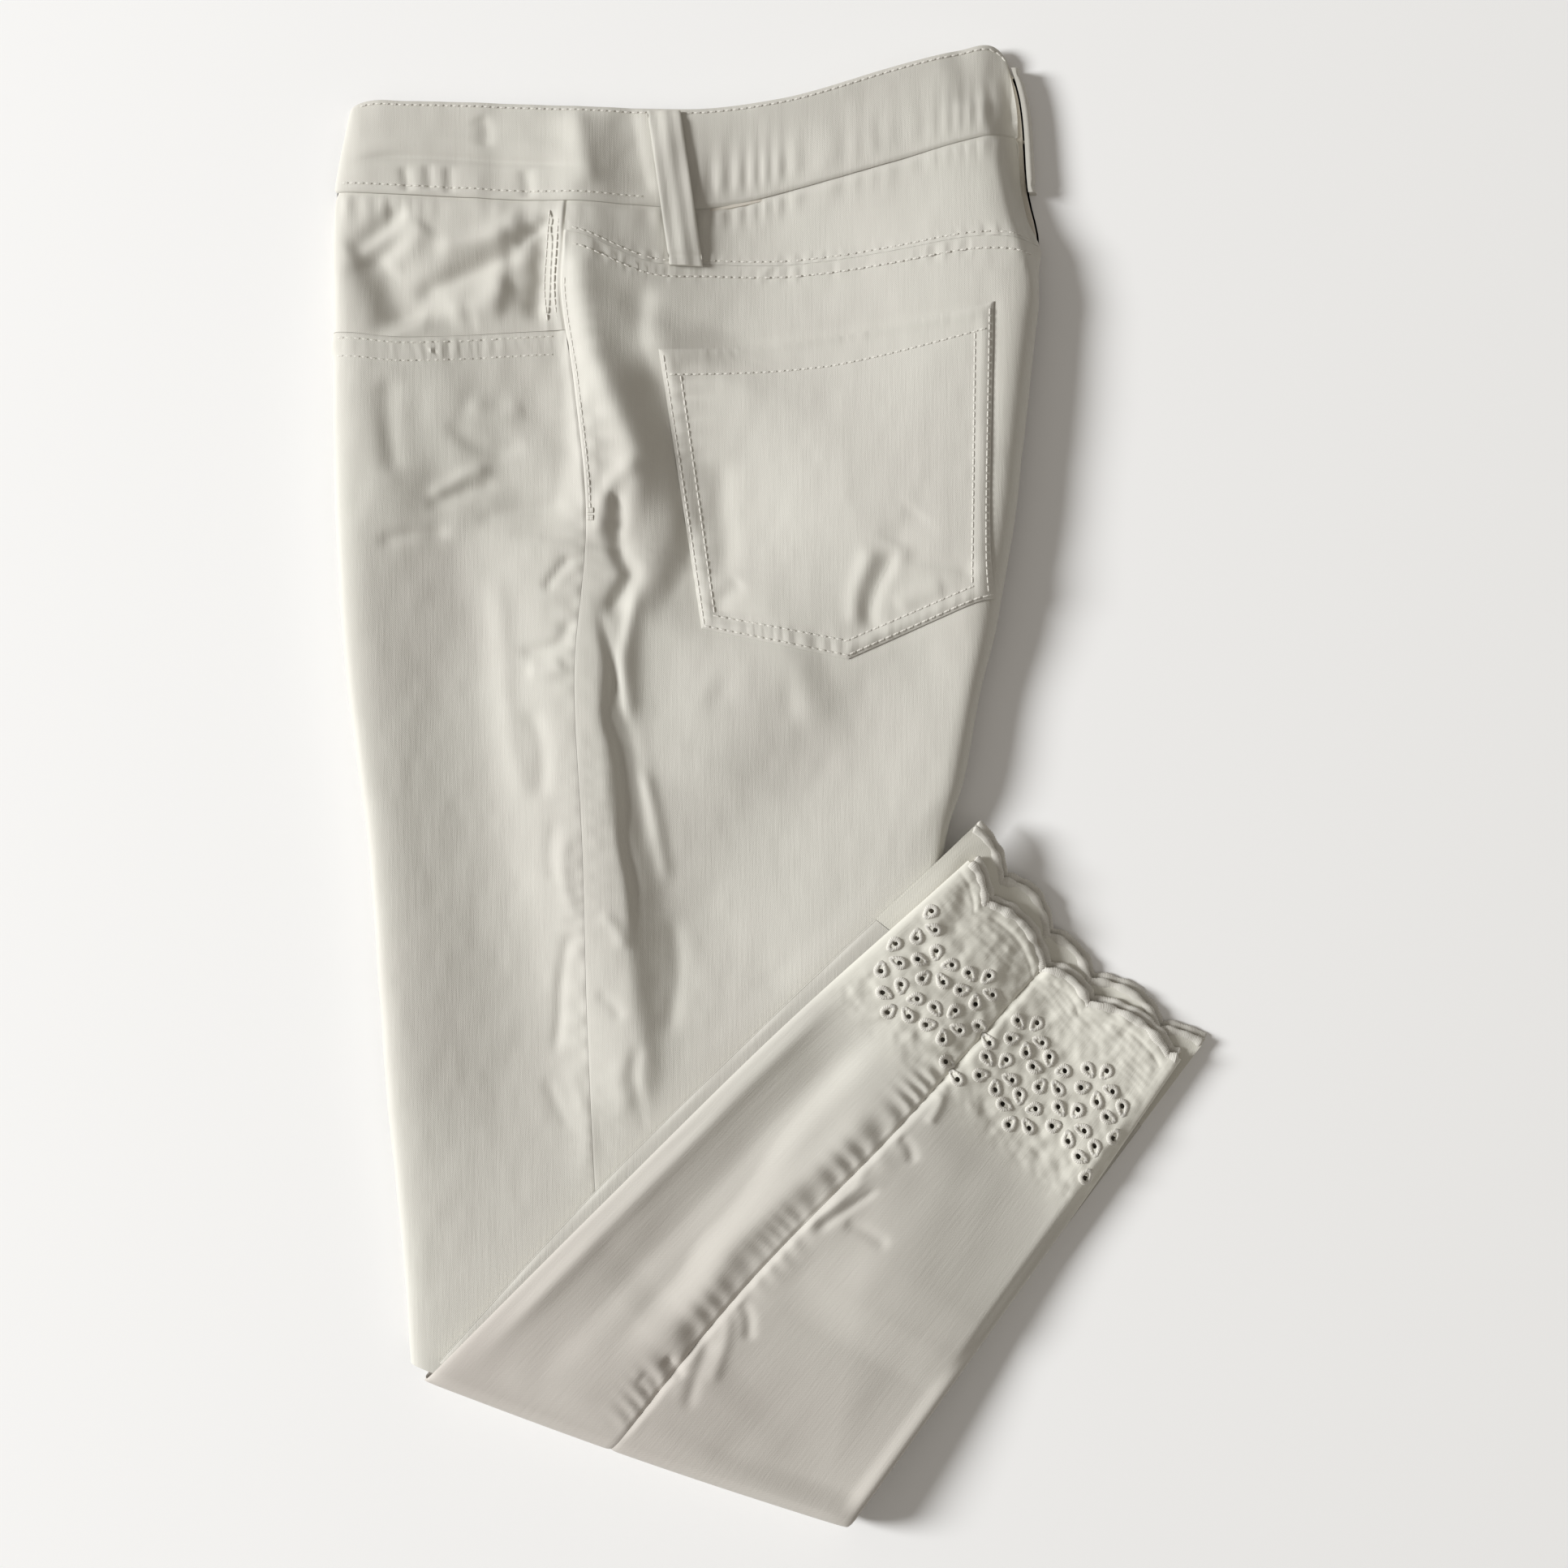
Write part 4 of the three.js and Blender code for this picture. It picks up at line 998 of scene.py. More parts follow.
class TrouserColours(bpy.types.PropertyGroup):
    cream: colour_setting("Cream", "The denim where it is lightest", (0.66, 0.651, 0.591, 1))
    cream_tint: colour_setting("Cream tint", "The denim where it is darkest", (0.571, 0.544, 0.50, 1))
    # Rosier and darker than the cream: part the lower legs' own tone, part painted shade towards the knee.
    rosy_tone_and_painted_shade: colour_setting("Rosy", "The denim of the lower legs towards the knee", (0.505, 0.458, 0.423, 1))
    worked: colour_setting("Worked", "The embroidered band above the hems", (0.745, 0.73, 0.655, 1))
    # Painted shade: the denim darkened for the layers deep inside the folds, which light hardly reaches.
    hidden: colour_setting("Hidden", "Layers that light hardly reaches", (0.60, 0.56, 0.49, 1))
    thread: colour_setting("Thread", "Topstitching and embroidery", (0.80, 0.785, 0.72, 1))
    floor: colour_setting("Floor", "The surface it lies on", (0.965, 0.965, 0.965, 1))


def sizes():
    return bpy.context.scene.trouser_sizes


def colours():
    return bpy.context.scene.trouser_colours


def measure(name):
    """One of the sizes, in millimetres."""
    return getattr(sizes(), name) / MM


def finish_for(name):
    """The named finish, made the first time that a piece asks for it."""
    if name in bpy.data.materials:
        return bpy.data.materials[name]
    shades = colours()
    if name == "cream_denim":
        return denim(name, shades.cream, shades.cream_tint)
    # The lower legs' twill takes painted shade towards the knee, mixed with a rosier tone of the cloth.
    if name == "cream_denim_hem":
        return denim(name, shades.cream, shades.cream_tint, 0.1, shades.rosy_tone_and_painted_shade, shades.worked)
    # Painted shade: the same twill in a darker colour, for the layers inside the folds.
    if name == "cream_denim_painted_shade":
        return denim(name, shades.hidden, shades.hidden)
    if name == "cream_thread":
        return satin(name, shades.thread, shades.cream_tint)
    raise RuntimeError(f"no finish is named {name}")


def settle(piece, finish, slot, *nodes):
    """Gives a piece its finish and its body, and hides the frame's pieces that it stands for. The slot is
    not used.
    """
    piece.data.materials.append(finish_for(finish))
    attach(piece, "root")
    if nodes:
        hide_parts(*nodes)
    return piece


# ---- the upper body ------------------------------------------------------------------------------
def make_front():
    cell = measure("cell")
    lines = Lines(front_crease, moved(outseam, -SEAM_GAP / 2), pocket_opening, moved(knee_line, PANEL_END))

    def relief(x, y):
        below = pocket_opening(x) - y
        margin = outseam(y) - x
        ripple = puckers(x, below, 4.4, 14, 0.6, 0.7) * ramp(below, 0, 2) * ramp(below, 13, 10)
        seam = ridge(margin, 1.4, 1.1, 0.4) * ramp(y, 110, 140)
        side = puckers(y, margin, 11, 10, 0.5, 2.2)
        return ridge(below, 6.8, 3.4, 0.45) + ripple + seam + side + grooves(OPENING_COURSES, x, y)

    piece = make_panel(
        "left_front", lines, [(108, cell)], [(505, cell)], relief, (True, False), Drops(right=0.16, top=0.7),
    )


def make_facing():
    cell = measure("cell")
    lines = Lines(
        front_crease, moved(outseam, -SEAM_GAP / 2),
        moved(band_seam, -FELLED_GAP), moved(pocket_opening, SEAM_GAP),
    )

    def relief(x, y):
        margin = outseam(y) - x
        under = band_seam(x) - y
        strip = 0.7 * ramp(margin, 10, 8.2) * ramp(margin, 0, 1.5) - ridge(margin, 5, 0.9, 0.5)
        side = puckers(y, margin - 9, 7, 8, 0.5, 3.1) + creased(FACING_CREASES, x, y)
        top = puckers(x, under, 8, 14, 0.4, 5.2) - ridge(under, 0, 2.2, 0.8)
        return strip + side + top + grooves(FACING_COURSES, x, y)

    piece = make_panel(
        "left_pocket_facing", lines, [(108, cell)], [(62, cell)], relief, (True, False),
        lift=-FACING_DEPTH, cloth=FACING_CLOTH,
    )


def make_yoke():
    lines = Lines(
        moved(outseam, SEAM_GAP / 2), back_crease,
        moved(band_seam, -FELLED_GAP), moved(yoke_seam, FELLED_GAP / 2),
    )

    def relief(x, y):
        under = band_seam(x) - y
        above = y - yoke_seam(x)
        band = puckers(x, under, 8.6, 11, 0.5, 1.1) - ridge(under, 0, 2.2, 0.8)
        fell = puckers(x, 6 - above, 4.3, 8, 0.5, 2.6) + ridge(above, 0, 4, 0.35)
        return band + fell + grooves(YOKE_COURSES[:1], x, y)

    zones = [(215, measure("cell"))], [(38, 1.3)]
    piece = make_panel("left_yoke", lines, *zones, relief, (False, True), Drops(left=0.16))


def back_relief(x, y):
    margin = x - outseam(y)
    below = yoke_seam(x) - y
    fell = ridge(below, -0.5, 6, 0.35) + puckers(x, below, 4.3, 10, 0.66, 0.4) * ramp(below, 10, 7)
    side = puckers(y, margin - 3, 10.5, 11, 0.65, 0.9) * mix(0.4, 1, ramp(y, 60, 120))
    seam = ridge(margin, 1.4, 1.1, 0.6) + ridge(margin, 5, 1.2, 0.5) - ridge(margin, 3, 0.9, 0.35)
    pocket = ridge(pocket_edge_distance(x, y), 0, 2.5, -0.3)
    stitching = grooves(YOKE_COURSES[1:] + OUTSEAM_COURSES, x, y)
    return fell + side + seam * ramp(y, 110, 140) + pocket + stitching


def make_back():
    cell = measure("cell")
    lines = Lines(
        moved(outseam, SEAM_GAP / 2), back_crease,
        moved(yoke_seam, -FELLED_GAP / 2), moved(knee_line, PANEL_END),
    )
    zones = [(190, cell)], [(420, cell), (150, 5)]
    piece = make_panel("left_back", lines, *zones, back_relief, (False, True), Drops(left=0.16))


def band_relief(x, y):
    ripples = puckers(x, y - band_seam(x) - 2, 8.6, 24, 0.5, 1.1) * ramp(x, -60, -35)
    even = 0.2 * uneven(x, y, 16, 12, 21)
    return creased(BAND_CREASES, x, y) + ripples + even + grooves(BAND_COURSES, x, y)


def band_proud():
    """How far the waistband stands out from the cloth below it."""
    return (BAND_CLOTH - measure("cloth")) / 2


def make_waistband():
    lines = Lines(front_crease, back_crease, waist_top, band_seam)
    piece = make_panel(
        "waistband_left_half", lines, [(315, 1.5)], [(44, 1.2)], band_relief, drops=Drops(top=0.9, low=0.9),
        lift=band_proud(), cloth=BAND_CLOTH,
    )


def make_waistband_under():
    inset = 1.5
    lines = Lines(
        moved(front_crease, inset), moved(back_crease, -inset), moved(waist_top, -inset), band_seam,
    )
    x, y = place_in(lines, graded((312, 3)), graded((42, 3)))
    lift = 0.25 * (1 + uneven(x, y, 18, 14, 31)) * ramp(np.abs(x + 45), 20, 60)
    levels = [at_height(x, y, z) for z in (BAND_CLOTH + lift, BAND_CLOTH / 2, 0)]
    piece = slab("waistband_right_half_cloth", levels, in_plan(x, y))
    settle(piece, "cream_denim_painted_shade", "denim_hidden", "waistband_right_half")


# How far in from the crease the side of the folded layers lies at a share of the height to the crease.
BODY_SIDE = ((5, 0.88), (2.4, 0.78), (1.6, 0.66), (1.3, 0.5), (1.3, 0.35), (1.6, 0.2), (2.1, 0.08), (2.8, 0))


def inward_at_sides(shape):
    """1 along the first column of a grid, -1 along its last and 0 between them."""
    inward = np.zeros(shape)
    inward[:, 0], inward[:, -1] = 1, -1
    return inward


def make_upper_layers():
    """The hidden folds of the upper body in one solid, with a groove where the two legs' creases part."""
    waist_in, band_end, below_start, end_in, least_thick = 5, 1, 1.8, 1.5, 0.6
    follow = 1.15
    shares = graded((300, 5), start=TURN_STEPS, end=TURN_STEPS)
    in_band, below = (
        place_in(Lines(front_crease, back_crease, upper, lower), shares, np.linspace(0, 1, rows))
        for upper, lower, rows in (
            (moved(waist_top, -waist_in), moved(band_seam, -band_end), 8),
            (moved(band_seam, -below_start), moved(knee_line, NOSE + BODY_END), 110),
        )
    )
    x, y = (np.concatenate(pair) for pair in zip(in_band, below))
    base = body_skin(x, y)
    sunk = np.minimum(body_relief(x, y), 0) + np.minimum(creased(FACING_CREASES, x, y), 0)
    depth = measure("cloth") + LAYER_GAP - sunk * follow
    top = base - grid_normals(base) * depth[..., None]
    floor = np.where(np.arange(len(x)) < len(in_band[0]), BAND_CLOTH + SEAM_GAP, 0)[:, None]
    end = np.zeros((len(x), 1))
    end[0], end[-1] = -end_in, end_in
    top[..., 1] += end
    top[..., 2] = np.maximum(top[..., 2], floor + least_thick)
    crease = np.minimum(stack_height(y) * CREASE_LEVEL, top[..., 2] - least_thick / 2)
    inward = inward_at_sides(x.shape)
    sides = [at_height(x + inward * inset, y + end, mix(floor, crease, share)) for inset, share in BODY_SIDE]
    piece = slab("upper_layers", [top, *sides], in_plan(x, y))
    settle(piece, "cream_denim_painted_shade", "denim_hidden", "folded_layers_upper")


# ---- back pocket ---------------------------------------------------------------------------------
POCKET_POINT_AT = 0.514
POCKET_REST = 0.2


def between(start, end, share):
    return mix(start[0], end[0], share), mix(start[1], end[1], share)


def pocket_place(share, down):
    """A place on the back pocket: share across from its left edge, down from its top edge."""
    left_part = np.clip(share / POCKET_POINT_AT, 0, 1)
    right_part = np.clip((share - POCKET_POINT_AT) / (1 - POCKET_POINT_AT), 0, 1)
    on_left = share < POCKET_POINT_AT
    left = between(POCKET["low_left"], POCKET["point"], left_part)
    right = between(POCKET["point"], POCKET["low_right"], right_part)
    lower = [np.where(on_left, a, b) for a, b in zip(left, right)]
    upper = between(POCKET["top_left"], POCKET["top_right"], share)
    x, y = between(upper, lower, down)
    return x, y - POCKET_DIP * np.sin(math.pi * share) * (1 - down)


def pocket_outline(inset, top):
    """The pocket's edge from top left round its point to top right, moved in."""
    across, down, steps = inset / POCKET_WIDTH, 1 - inset / POCKET_HEIGHT, 12
    corners = np.array([
        (across, top), (across, down), (POCKET_POINT_AT, down), (1 - across, down), (1 - across, top),
    ])
    at = np.arange(steps * (len(corners) - 1) + 1) / steps
    return in_plan(*pocket_place(*(np.interp(at, range(len(corners)), part) for part in corners.T)))


def pocket_edge_distance(x, y):
    x, y = spread(x, y)
    away = np.full(x.shape, 50.0)
    near = (x > -65) & (x < 120) & (y > 45) & (y < 240)
    if near.any():
        away[near] = beside(np.vstack([POCKET_EDGE, POCKET_EDGE[:1]]), x[near], y[near])[0]
    return away


POCKET_EDGE = pocket_outline(0, 0)
POCKET_COURSES = [
    in_plan(*pocket_place(np.linspace(0.02, 0.98, 40), 0.088)),
    pocket_outline(1.7, 0.02),
    pocket_outline(8, 0.09),
]


def pocket_relief(x, y):
    edge = pocket_edge_distance(x, y)
    top_left, slant = 208, 0.12
    down = top_left - y + slant * (x + 50)
    bottom = ramp(y, 45, 65) * ramp(y, 105, 80)
    relief = creased(POCKET_CREASES, x, y) + grooves(POCKET_COURSES, x, y) + ridge(edge, 4.8, 2.4, 0.45)
    relief += puckers(y, edge, 5.2, 11, 0.42, 0.9) * ramp(x, 18, -2) * ramp(y, 200, 185)
    relief += puckers(y, x + 44, 9.5, 15, 0.9, 2.4) * ramp(y, 200, 185) * ramp(y, 80, 110)
    relief += puckers(x * 1.03, edge, 6.3, 9, 0.4, 0.3) * bottom
    relief += puckers(x, 14 - np.abs(down), 3.4, 11, 0.16, 1.9) * ramp(down, 24, 18)
    return relief - 1.05 * np.clip(1 - edge / 3.4, 0, 1) ** 2


def pocket_surface(x, y):
    lift = POCKET_REST + POCKET_LIFT * np.abs(across_at(x, y)) ** BACK_ROUNDING + 1.2
    return lifted(body_skin, x, y, lift + body_relief(x, y) + pocket_relief(x, y))


def make_pocket():
    left, right = graded((74, 1.5), end=NO_STEPS), graded((70, 1.5), start=NO_STEPS)
    shares = np.concatenate([left * POCKET_POINT_AT, mix(POCKET_POINT_AT, 1, right[1:])])
    x, y = pocket_place(shares[None, :], graded((142, 1.5))[:, None])
    outer = pocket_surface(x, y)
    thick = mix(0.3, measure("cloth") - 0.3, smooth(pocket_edge_distance(x, y) / 2.8))
    under = outer - grid_normals(body_skin(x, y)) * thick[..., None]
    piece = slab("left_back_pocket_cloth", [outer, under], in_plan(x, y))
    settle(piece, "cream_denim", "denim", "left_back_pocket")


# ---- belt loops ----------------------------------------------------------------------------------
def side_loop_place(across, down):
    x, y = between(SIDE_LOOP["top"], SIDE_LOOP["end"], down)
    return x + across * SIDE_LOOP["width"] / 2, y


def side_loop_surface(across, down, lift):
    x, y = side_loop_place(across, down)
    follow = body_relief(x, y) * 0.85 + creased(BAND_CREASES, x, y) * ramp(y, 270, 276) * 0.6
    return lifted(body_skin, x, y, lift + follow + LOOP_SLACK * np.sin(math.pi * down))


def make_side_loop():
    """The loop that lies over the waistband and the yoke."""
    length, wall = 71, SIDE_LOOP["wall"]
    half = np.array([0, 0.2, 0.4, 0.6, 0.78, 0.9, 0.97, 1])
    a, d = np.meshgrid(np.concatenate([-half[:0:-1], half]), graded((length, 1.0)))
    x, y = side_loop_place(a, d)
    fold = 0.35 * np.cos(a * math.pi * 2) - 0.9 * np.abs(a) ** 6
    tuck = ridge((1 - d) * length, 4.5, 1.6, -1.1) + ridge(d * length, 2, 1.6, -0.7)
    twist = 0.3 * np.sin(9 * d + 2.2 * a)
    low = mix(0.1, band_proud() + LIE_GAP, ramp(y - band_seam(x), -10, -1))
    levels = [
        side_loop_surface(a, d, low + wall + 0.15 + fold + tuck + twist),
        side_loop_surface(a, d, low + 0.9),
        side_loop_surface(a * 0.97, d, low),
    ]
    side = slab("belt_loop_side_cloth", levels, in_plan(x, y))
    settle(side, "cream_denim", "denim", "belt_loop_side")


def make_back_loop():
    """The centre back loop, which stands on edge along the back crease."""
    length = 58
    down = graded((length, 1.0))[:, None]
    y = mix(BACK_LOOP["top"], BACK_LOOP["end"], down)
    up = np.array([0, 0.02, 0.06, 0.12, 0.22, 0.4, 0.6, 0.78, 0.88, 0.94, 0.98, 1])[None, :]
    out = BACK_LOOP["stand_off"] + LIE_GAP + LOOP_SLACK / 2 * np.sin(math.pi * down)
    low = np.maximum(0, stack_height(y) * CREASE_LEVEL - BACK_LOOP["height"] / 2)
    tuck = ridge(down * length, 3, 1.8, 0.9) + ridge((1 - down) * length, 3, 1.8, 0.9)
    swell = BACK_LOOP["wall"] * (1 - 0.22 * np.abs(2 * up - 1) ** 4) - tuck
    base = back_crease(y) + out - BACK_LOOP["lean"] * up ** 2
    z = low + up * BACK_LOOP["height"]
    levels = [at_height(base + offset, y, z) for offset in (swell, 1.4, 0)]
    back = slab("belt_loop_back_cloth", levels, in_plan(*np.broadcast_arrays(y, z)))
    settle(back, "cream_denim", "denim", "belt_loop_back")


# ---- lower legs ----------------------------------------------------------------------------------
LEG_SIDE = ((0.15, 4.35), (0, 3.8), (0.1, 3.2), (0.7, 2.8), (2, 2.5), (3.5, 2.35), (1.6, 2.15), (0.6, 1.9),
            (0.4, 1.4), (0.55, 0.8), (0.9, 0.3), (1.5, 0))


def make_far_leg():
    """The left lower leg under the right one, in one solid; its two layers part in a groove."""
    share, t = np.meshgrid(graded((LEG_WIDTH, 4), start=TURN_STEPS, end=TURN_STEPS), graded((LEG_LENGTH, 3)))
    along = mix((NOSE + BODY_END) / FRONT_LENGTH, HEM_WALLS_START, t)
    place = np.array(leg_place(share, along, 1.0))
    run = np.array(leg_place(0 * share + 1, along, 1.0)) - leg_place(0 * share, along, 1.0)
    length = np.hypot(*run)
    inward = run / length * inward_at_sides(share.shape)
    low = bed_height(*place)
    margin = np.minimum(share, 1 - share) * length
    ripple = ridge(margin, 0, 9, 0.25) * np.sin(along * 41 + 3 * share) * smooth(margin / 2)
    top = FAR_LEG - 0.6 * np.clip(1 - margin / 3, 0, 1) ** 2 + ripple
    levels = [at_height(*(place + inward * inset), low + rise) for inset, rise in ((0.6, top), *LEG_SIDE)]
    piece = slab("left_leg_lower_layers", levels, in_plan(*place))
    settle(piece, "cream_denim", "denim_hidden", "left_leg_lower")


def make_near_layers():
    """The hidden layers inside the right lower leg."""
    depth, end, thinnest, follow = 2.9, HEM_WALLS_START - 0.01, 0.3, 1.1
    ends = TURN_STEPS[:6]
    share, t = np.meshgrid(graded((LEG_WIDTH, 4), start=ends, end=ends), graded((LEG_LENGTH, 4)))
    along = mix((NOSE + BODY_END) / FRONT_LENGTH, end, t)
    skin = near_skin(2 * share - 1, along)
    sunk = depth - np.minimum(flap_relief(share, along), 0) * follow
    top = skin - grid_normals(skin) * sunk[..., None]
    x, y, z = np.moveaxis(top, -1, 0)
    bottom = at_height(x, y, np.minimum(bed_height(x, y) + NEAR_FLOOR, z - thinnest))
    piece = slab("right_leg_lower_layers", [top, bottom], skin[..., :2])
    settle(piece, "cream_denim_painted_shade", "denim_hidden", "folded_layers_lower")


def hem_end(scallops, share, extra):
    return 1 + (hem_reach(scallops, share) + extra) / length_at(share)


# A hidden hem layer: the frame's piece it stands for, its scallops and how far they reach, whether it is the
# left leg's, its height over what it lies on, how far in it starts, and the seed of its unevenness.
HemLayer = namedtuple("HemLayer", "node scallops extra far lift inset seed")
HIDDEN_HEMS = (
    HemLayer("left_hem_outer", LEFT_HEM, FAR_REACH, 1.0, 0.0, 0.0, 41),
    HemLayer("left_hem_inner", LEFT_HEM, FAR_REACH - HIDDEN_STEP, 1.0, FAR_LEG - HEM_CLOTH - 0.1, 0.002, 42),
    HemLayer("right_hem_inner", RIGHT_HEM, 3.2, 0.0, NEAR_FLOOR, 0.012, 43),
)


def hem_surface(layer, share, t):
    """A hidden hem layer's under face at a share across and a share of the way to its scalloped edge."""
    along = mix(HEM_WALLS_START + 0.0006, hem_end(layer.scallops, share, layer.extra), t)
    x, y = leg_place(share, along, layer.far)
    wave = 0.45 * (1 + uneven(share * HEM_WIDTH, along * 300, 9, 12, layer.seed)) * smooth(t * 2)
    return at_height(x, y, bed_height(x, y) + layer.lift + wave * smooth(across_margin(share) / 8))


def make_hem_layer(layer):
    """Makes a hidden hem layer and gives the course of its scalloped edge."""
    length, up = 55, np.array([0, 0, HEM_CLOTH])
    shares = mix(layer.inset, 1 - layer.inset, graded((HEM_WIDTH, 1.1)))
    share, t = np.meshgrid(shares, graded((length, 1.6)))
    low = hem_surface(layer, share, t)
    piece = slab(layer.node + "_cloth", [low + up, low], in_plan(share * HEM_WIDTH, t * length))
    # The right leg's inner hem layer takes the painted shade; the left leg's layers take the hem's twill.
    settle(piece, "cream_denim_hem" if layer.far else "cream_denim_painted_shade", "eyelet_hem", layer.node)
    return edge_course(lambda at: hem_surface(layer, at, 1 + 0 * at) + up / 2, layer.inset)


BORDER_SIDES = 10
BORDER_PITCH = 0.6


def edge_course(curve, inset):
    """Points of a hem's scalloped edge at even distances."""
    share = np.linspace(inset, 1 - inset, 1200)
    points = curve(share)
    reached = np.concatenate([[0], np.cumsum(np.linalg.norm(np.diff(points, axis=0), axis=1))])
    at = np.arange(0, reached[-1], BORDER_PITCH)
    return np.stack([np.interp(at, reached, points[:, k]) for k in range(3)], 1)


def border_rings(course, half_width, half_height):
    """A satin-stitched roll along a course, ribbed by its threads."""
    along = unit(np.gradient(course, axis=0))
    side = unit(np.cross(along, (0, 0, 1)))[:, None]
    normal = unit(np.cross(side[:, 0], along))[:, None]
    angle = 2 * math.pi * np.arange(BORDER_SIDES)[:, None] / BORDER_SIDES
    station = np.arange(len(course))
    reached = BORDER_PITCH * station
    swell = 0.16 * np.sin(reached / 2.3) + 0.12 * np.sin(reached / 1.3 + 1)
    rib = (1 + swell + 0.07 * np.where(station % 2, 1, -1))[:, None, None]
    rib[0] = rib[-1] = 0.5
    ring = side * np.cos(angle) * half_width + normal * np.sin(angle) * half_height
    return course[:, None] + ring * rib


def make_border(name, course, half_width, half_height, lowest=-math.inf):
    rings = border_rings(course, half_width, half_height)
    rings[..., 2] = np.maximum(rings[..., 2], lowest)
    settle(tubes(name, rings[None]), "cream_thread", "denim_trim")


def make_hidden_hems():
    courses = [make_hem_layer(layer) for layer in HIDDEN_HEMS]
    for layer, course in zip(HIDDEN_HEMS, courses):
        make_border(layer.node + "_border", course, 2, 1.05, lowest=0.05)


def petals(columns, front):
    """Middles of the eyelet holes on one panel: mm across from the front crease and mm up from the hem's
    line, and the direction from each to the middle of its flower."""
    seam = float(leg_seam(1.0)) * HEM_WIDTH
    at_crease, at_seam = 1.5, 2.2
    low, high = (at_crease, seam - at_seam) if front else (seam + at_seam, HEM_WIDTH - at_crease)
    holes = []
    for column, (offset, first) in enumerate(columns):
        for row in range(2):
            for petal in range(PETALS):
                angle = math.pi * (column % 2 - 0.5) + 2 * math.pi * petal / PETALS
                across = seam + offset + PETAL_REACH * math.cos(angle)
                if low < across < high:
                    up = first + row * FLOWER_PITCH + PETAL_REACH * math.sin(angle)
                    holes.append((across, up, angle + math.pi))
    return np.array(holes)


def near_face(share, along):
    return near_skin(2 * share - 1, along)


def near_surface(share, along):
    """The right lower leg's outer face with its creases, read at a share across and along."""
    return lifted(near_face, share, along, flap_relief(share, along), 0.0012)


def hem_place(across, up):
    """Share across and along for millimetres across the hem from the front crease and up from its line."""
    share = across / HEM_WIDTH
    return share, 1 - up / length_at(share)


def cut_eyelets(across, up, holes, radius):
    """Leaves out the cells of a grid inside round holes, and moves the points beside them out to the holes'
    edges. Gives the grid and the cells that are kept."""
    kept = np.ones((len(across) - 1, across.shape[1] - 1), bool)
    corners = [(slice(i, i + kept.shape[0]), slice(j, j + kept.shape[1])) for i in (0, 1) for j in (0, 1)]
    cell_across, cell_up = (sum(grid[corner] for corner in corners) / 4 for grid in (across, up))
    low, high, least_away = across.min() + radius, across.max() - radius, 0.55
    for hole_across, hole_up, _ in holes:
        if not low < hole_across < high:
            continue
        inside = np.hypot(cell_across - hole_across, cell_up - hole_up) < radius
        kept &= ~inside
        touched = np.zeros(across.shape, bool)
        for corner in corners:
            touched[corner] |= inside
        to_across, to_up = across - hole_across, up - hole_up
        away = np.maximum(np.hypot(to_across, to_up), 1e-6)
        rim = touched & (away > least_away * radius)
        across = np.where(rim, hole_across + to_across * radius / away, across)
        up = np.where(rim, hole_up + to_up * radius / away, up)
    return across, up, kept


def make_near_panel(name, node, front):
    """Front or back panel of the right lower leg, round the knee fold and down to its scalloped hem."""
    cell, fine = measure("cell"), measure("band_cell")
    seam = float(leg_seam(1.0))
    gap = SEAM_GAP / 2 / LEG_WIDTH
    width = (seam if front else 1 - seam) * HEM_WIDTH
    start, end = (TURN_STEPS, EDGE_STEPS) if front else (EDGE_STEPS, TURN_STEPS)
    columns = graded((width, fine), start=start, end=end)

    def share_at(along):
        at = leg_seam(along)[:, None]
        return columns * (at - gap) if front else mix(at + gap, 1, columns)

    nose = NOSE_SHARE * np.linspace(-0.86, 0.97, 22)
    leg_length = FRONT_LENGTH - NOSE
    rows = graded((leg_length * BAND_START, cell), (leg_length * (1 - BAND_START), fine), start=NO_STEPS)
    hem = hem_end(RIGHT_HEM, share_at(np.array([1.0]))[0], 0)
    along = np.concatenate([nose[:, None] + 0 * hem, mix(NOSE_SHARE, hem, rows[:, None])])
    share = share_at(along.mean(1))
    holes = petals(FRONT_FLOWERS if front else BACK_FLOWERS, front)
    across, up, kept = cut_eyelets(
        share * HEM_WIDTH, (1 - along) * length_at(share), holes, measure("eyelet_radius"),
    )
    share, along = hem_place(across, up)
    skin = near_face(share, along)
    normal = grid_normals(skin)
    at_seam = {"last" if front else "first": 0.55}
    to_edge = (hem - along) * length_at(share)
    lip = ridge(to_edge, 3.4, 2.2, 0.35) - ridge(to_edge, 6.4, 0.9, 0.3)
    edges = (turned_down(columns, len(columns) * fine, **at_seam) + lip) * smooth(across_margin(share) / 3)
    outer = skin + normal * (flap_relief(share, along) + edges)[..., None]
    piece = slab(name, [outer, outer - normal * NEAR_CLOTH], in_plan(across, up), kept)
    settle(piece, "cream_denim_hem", "eyelet_hem", node)


RING_STEPS = 22
RING_SIDES = 8


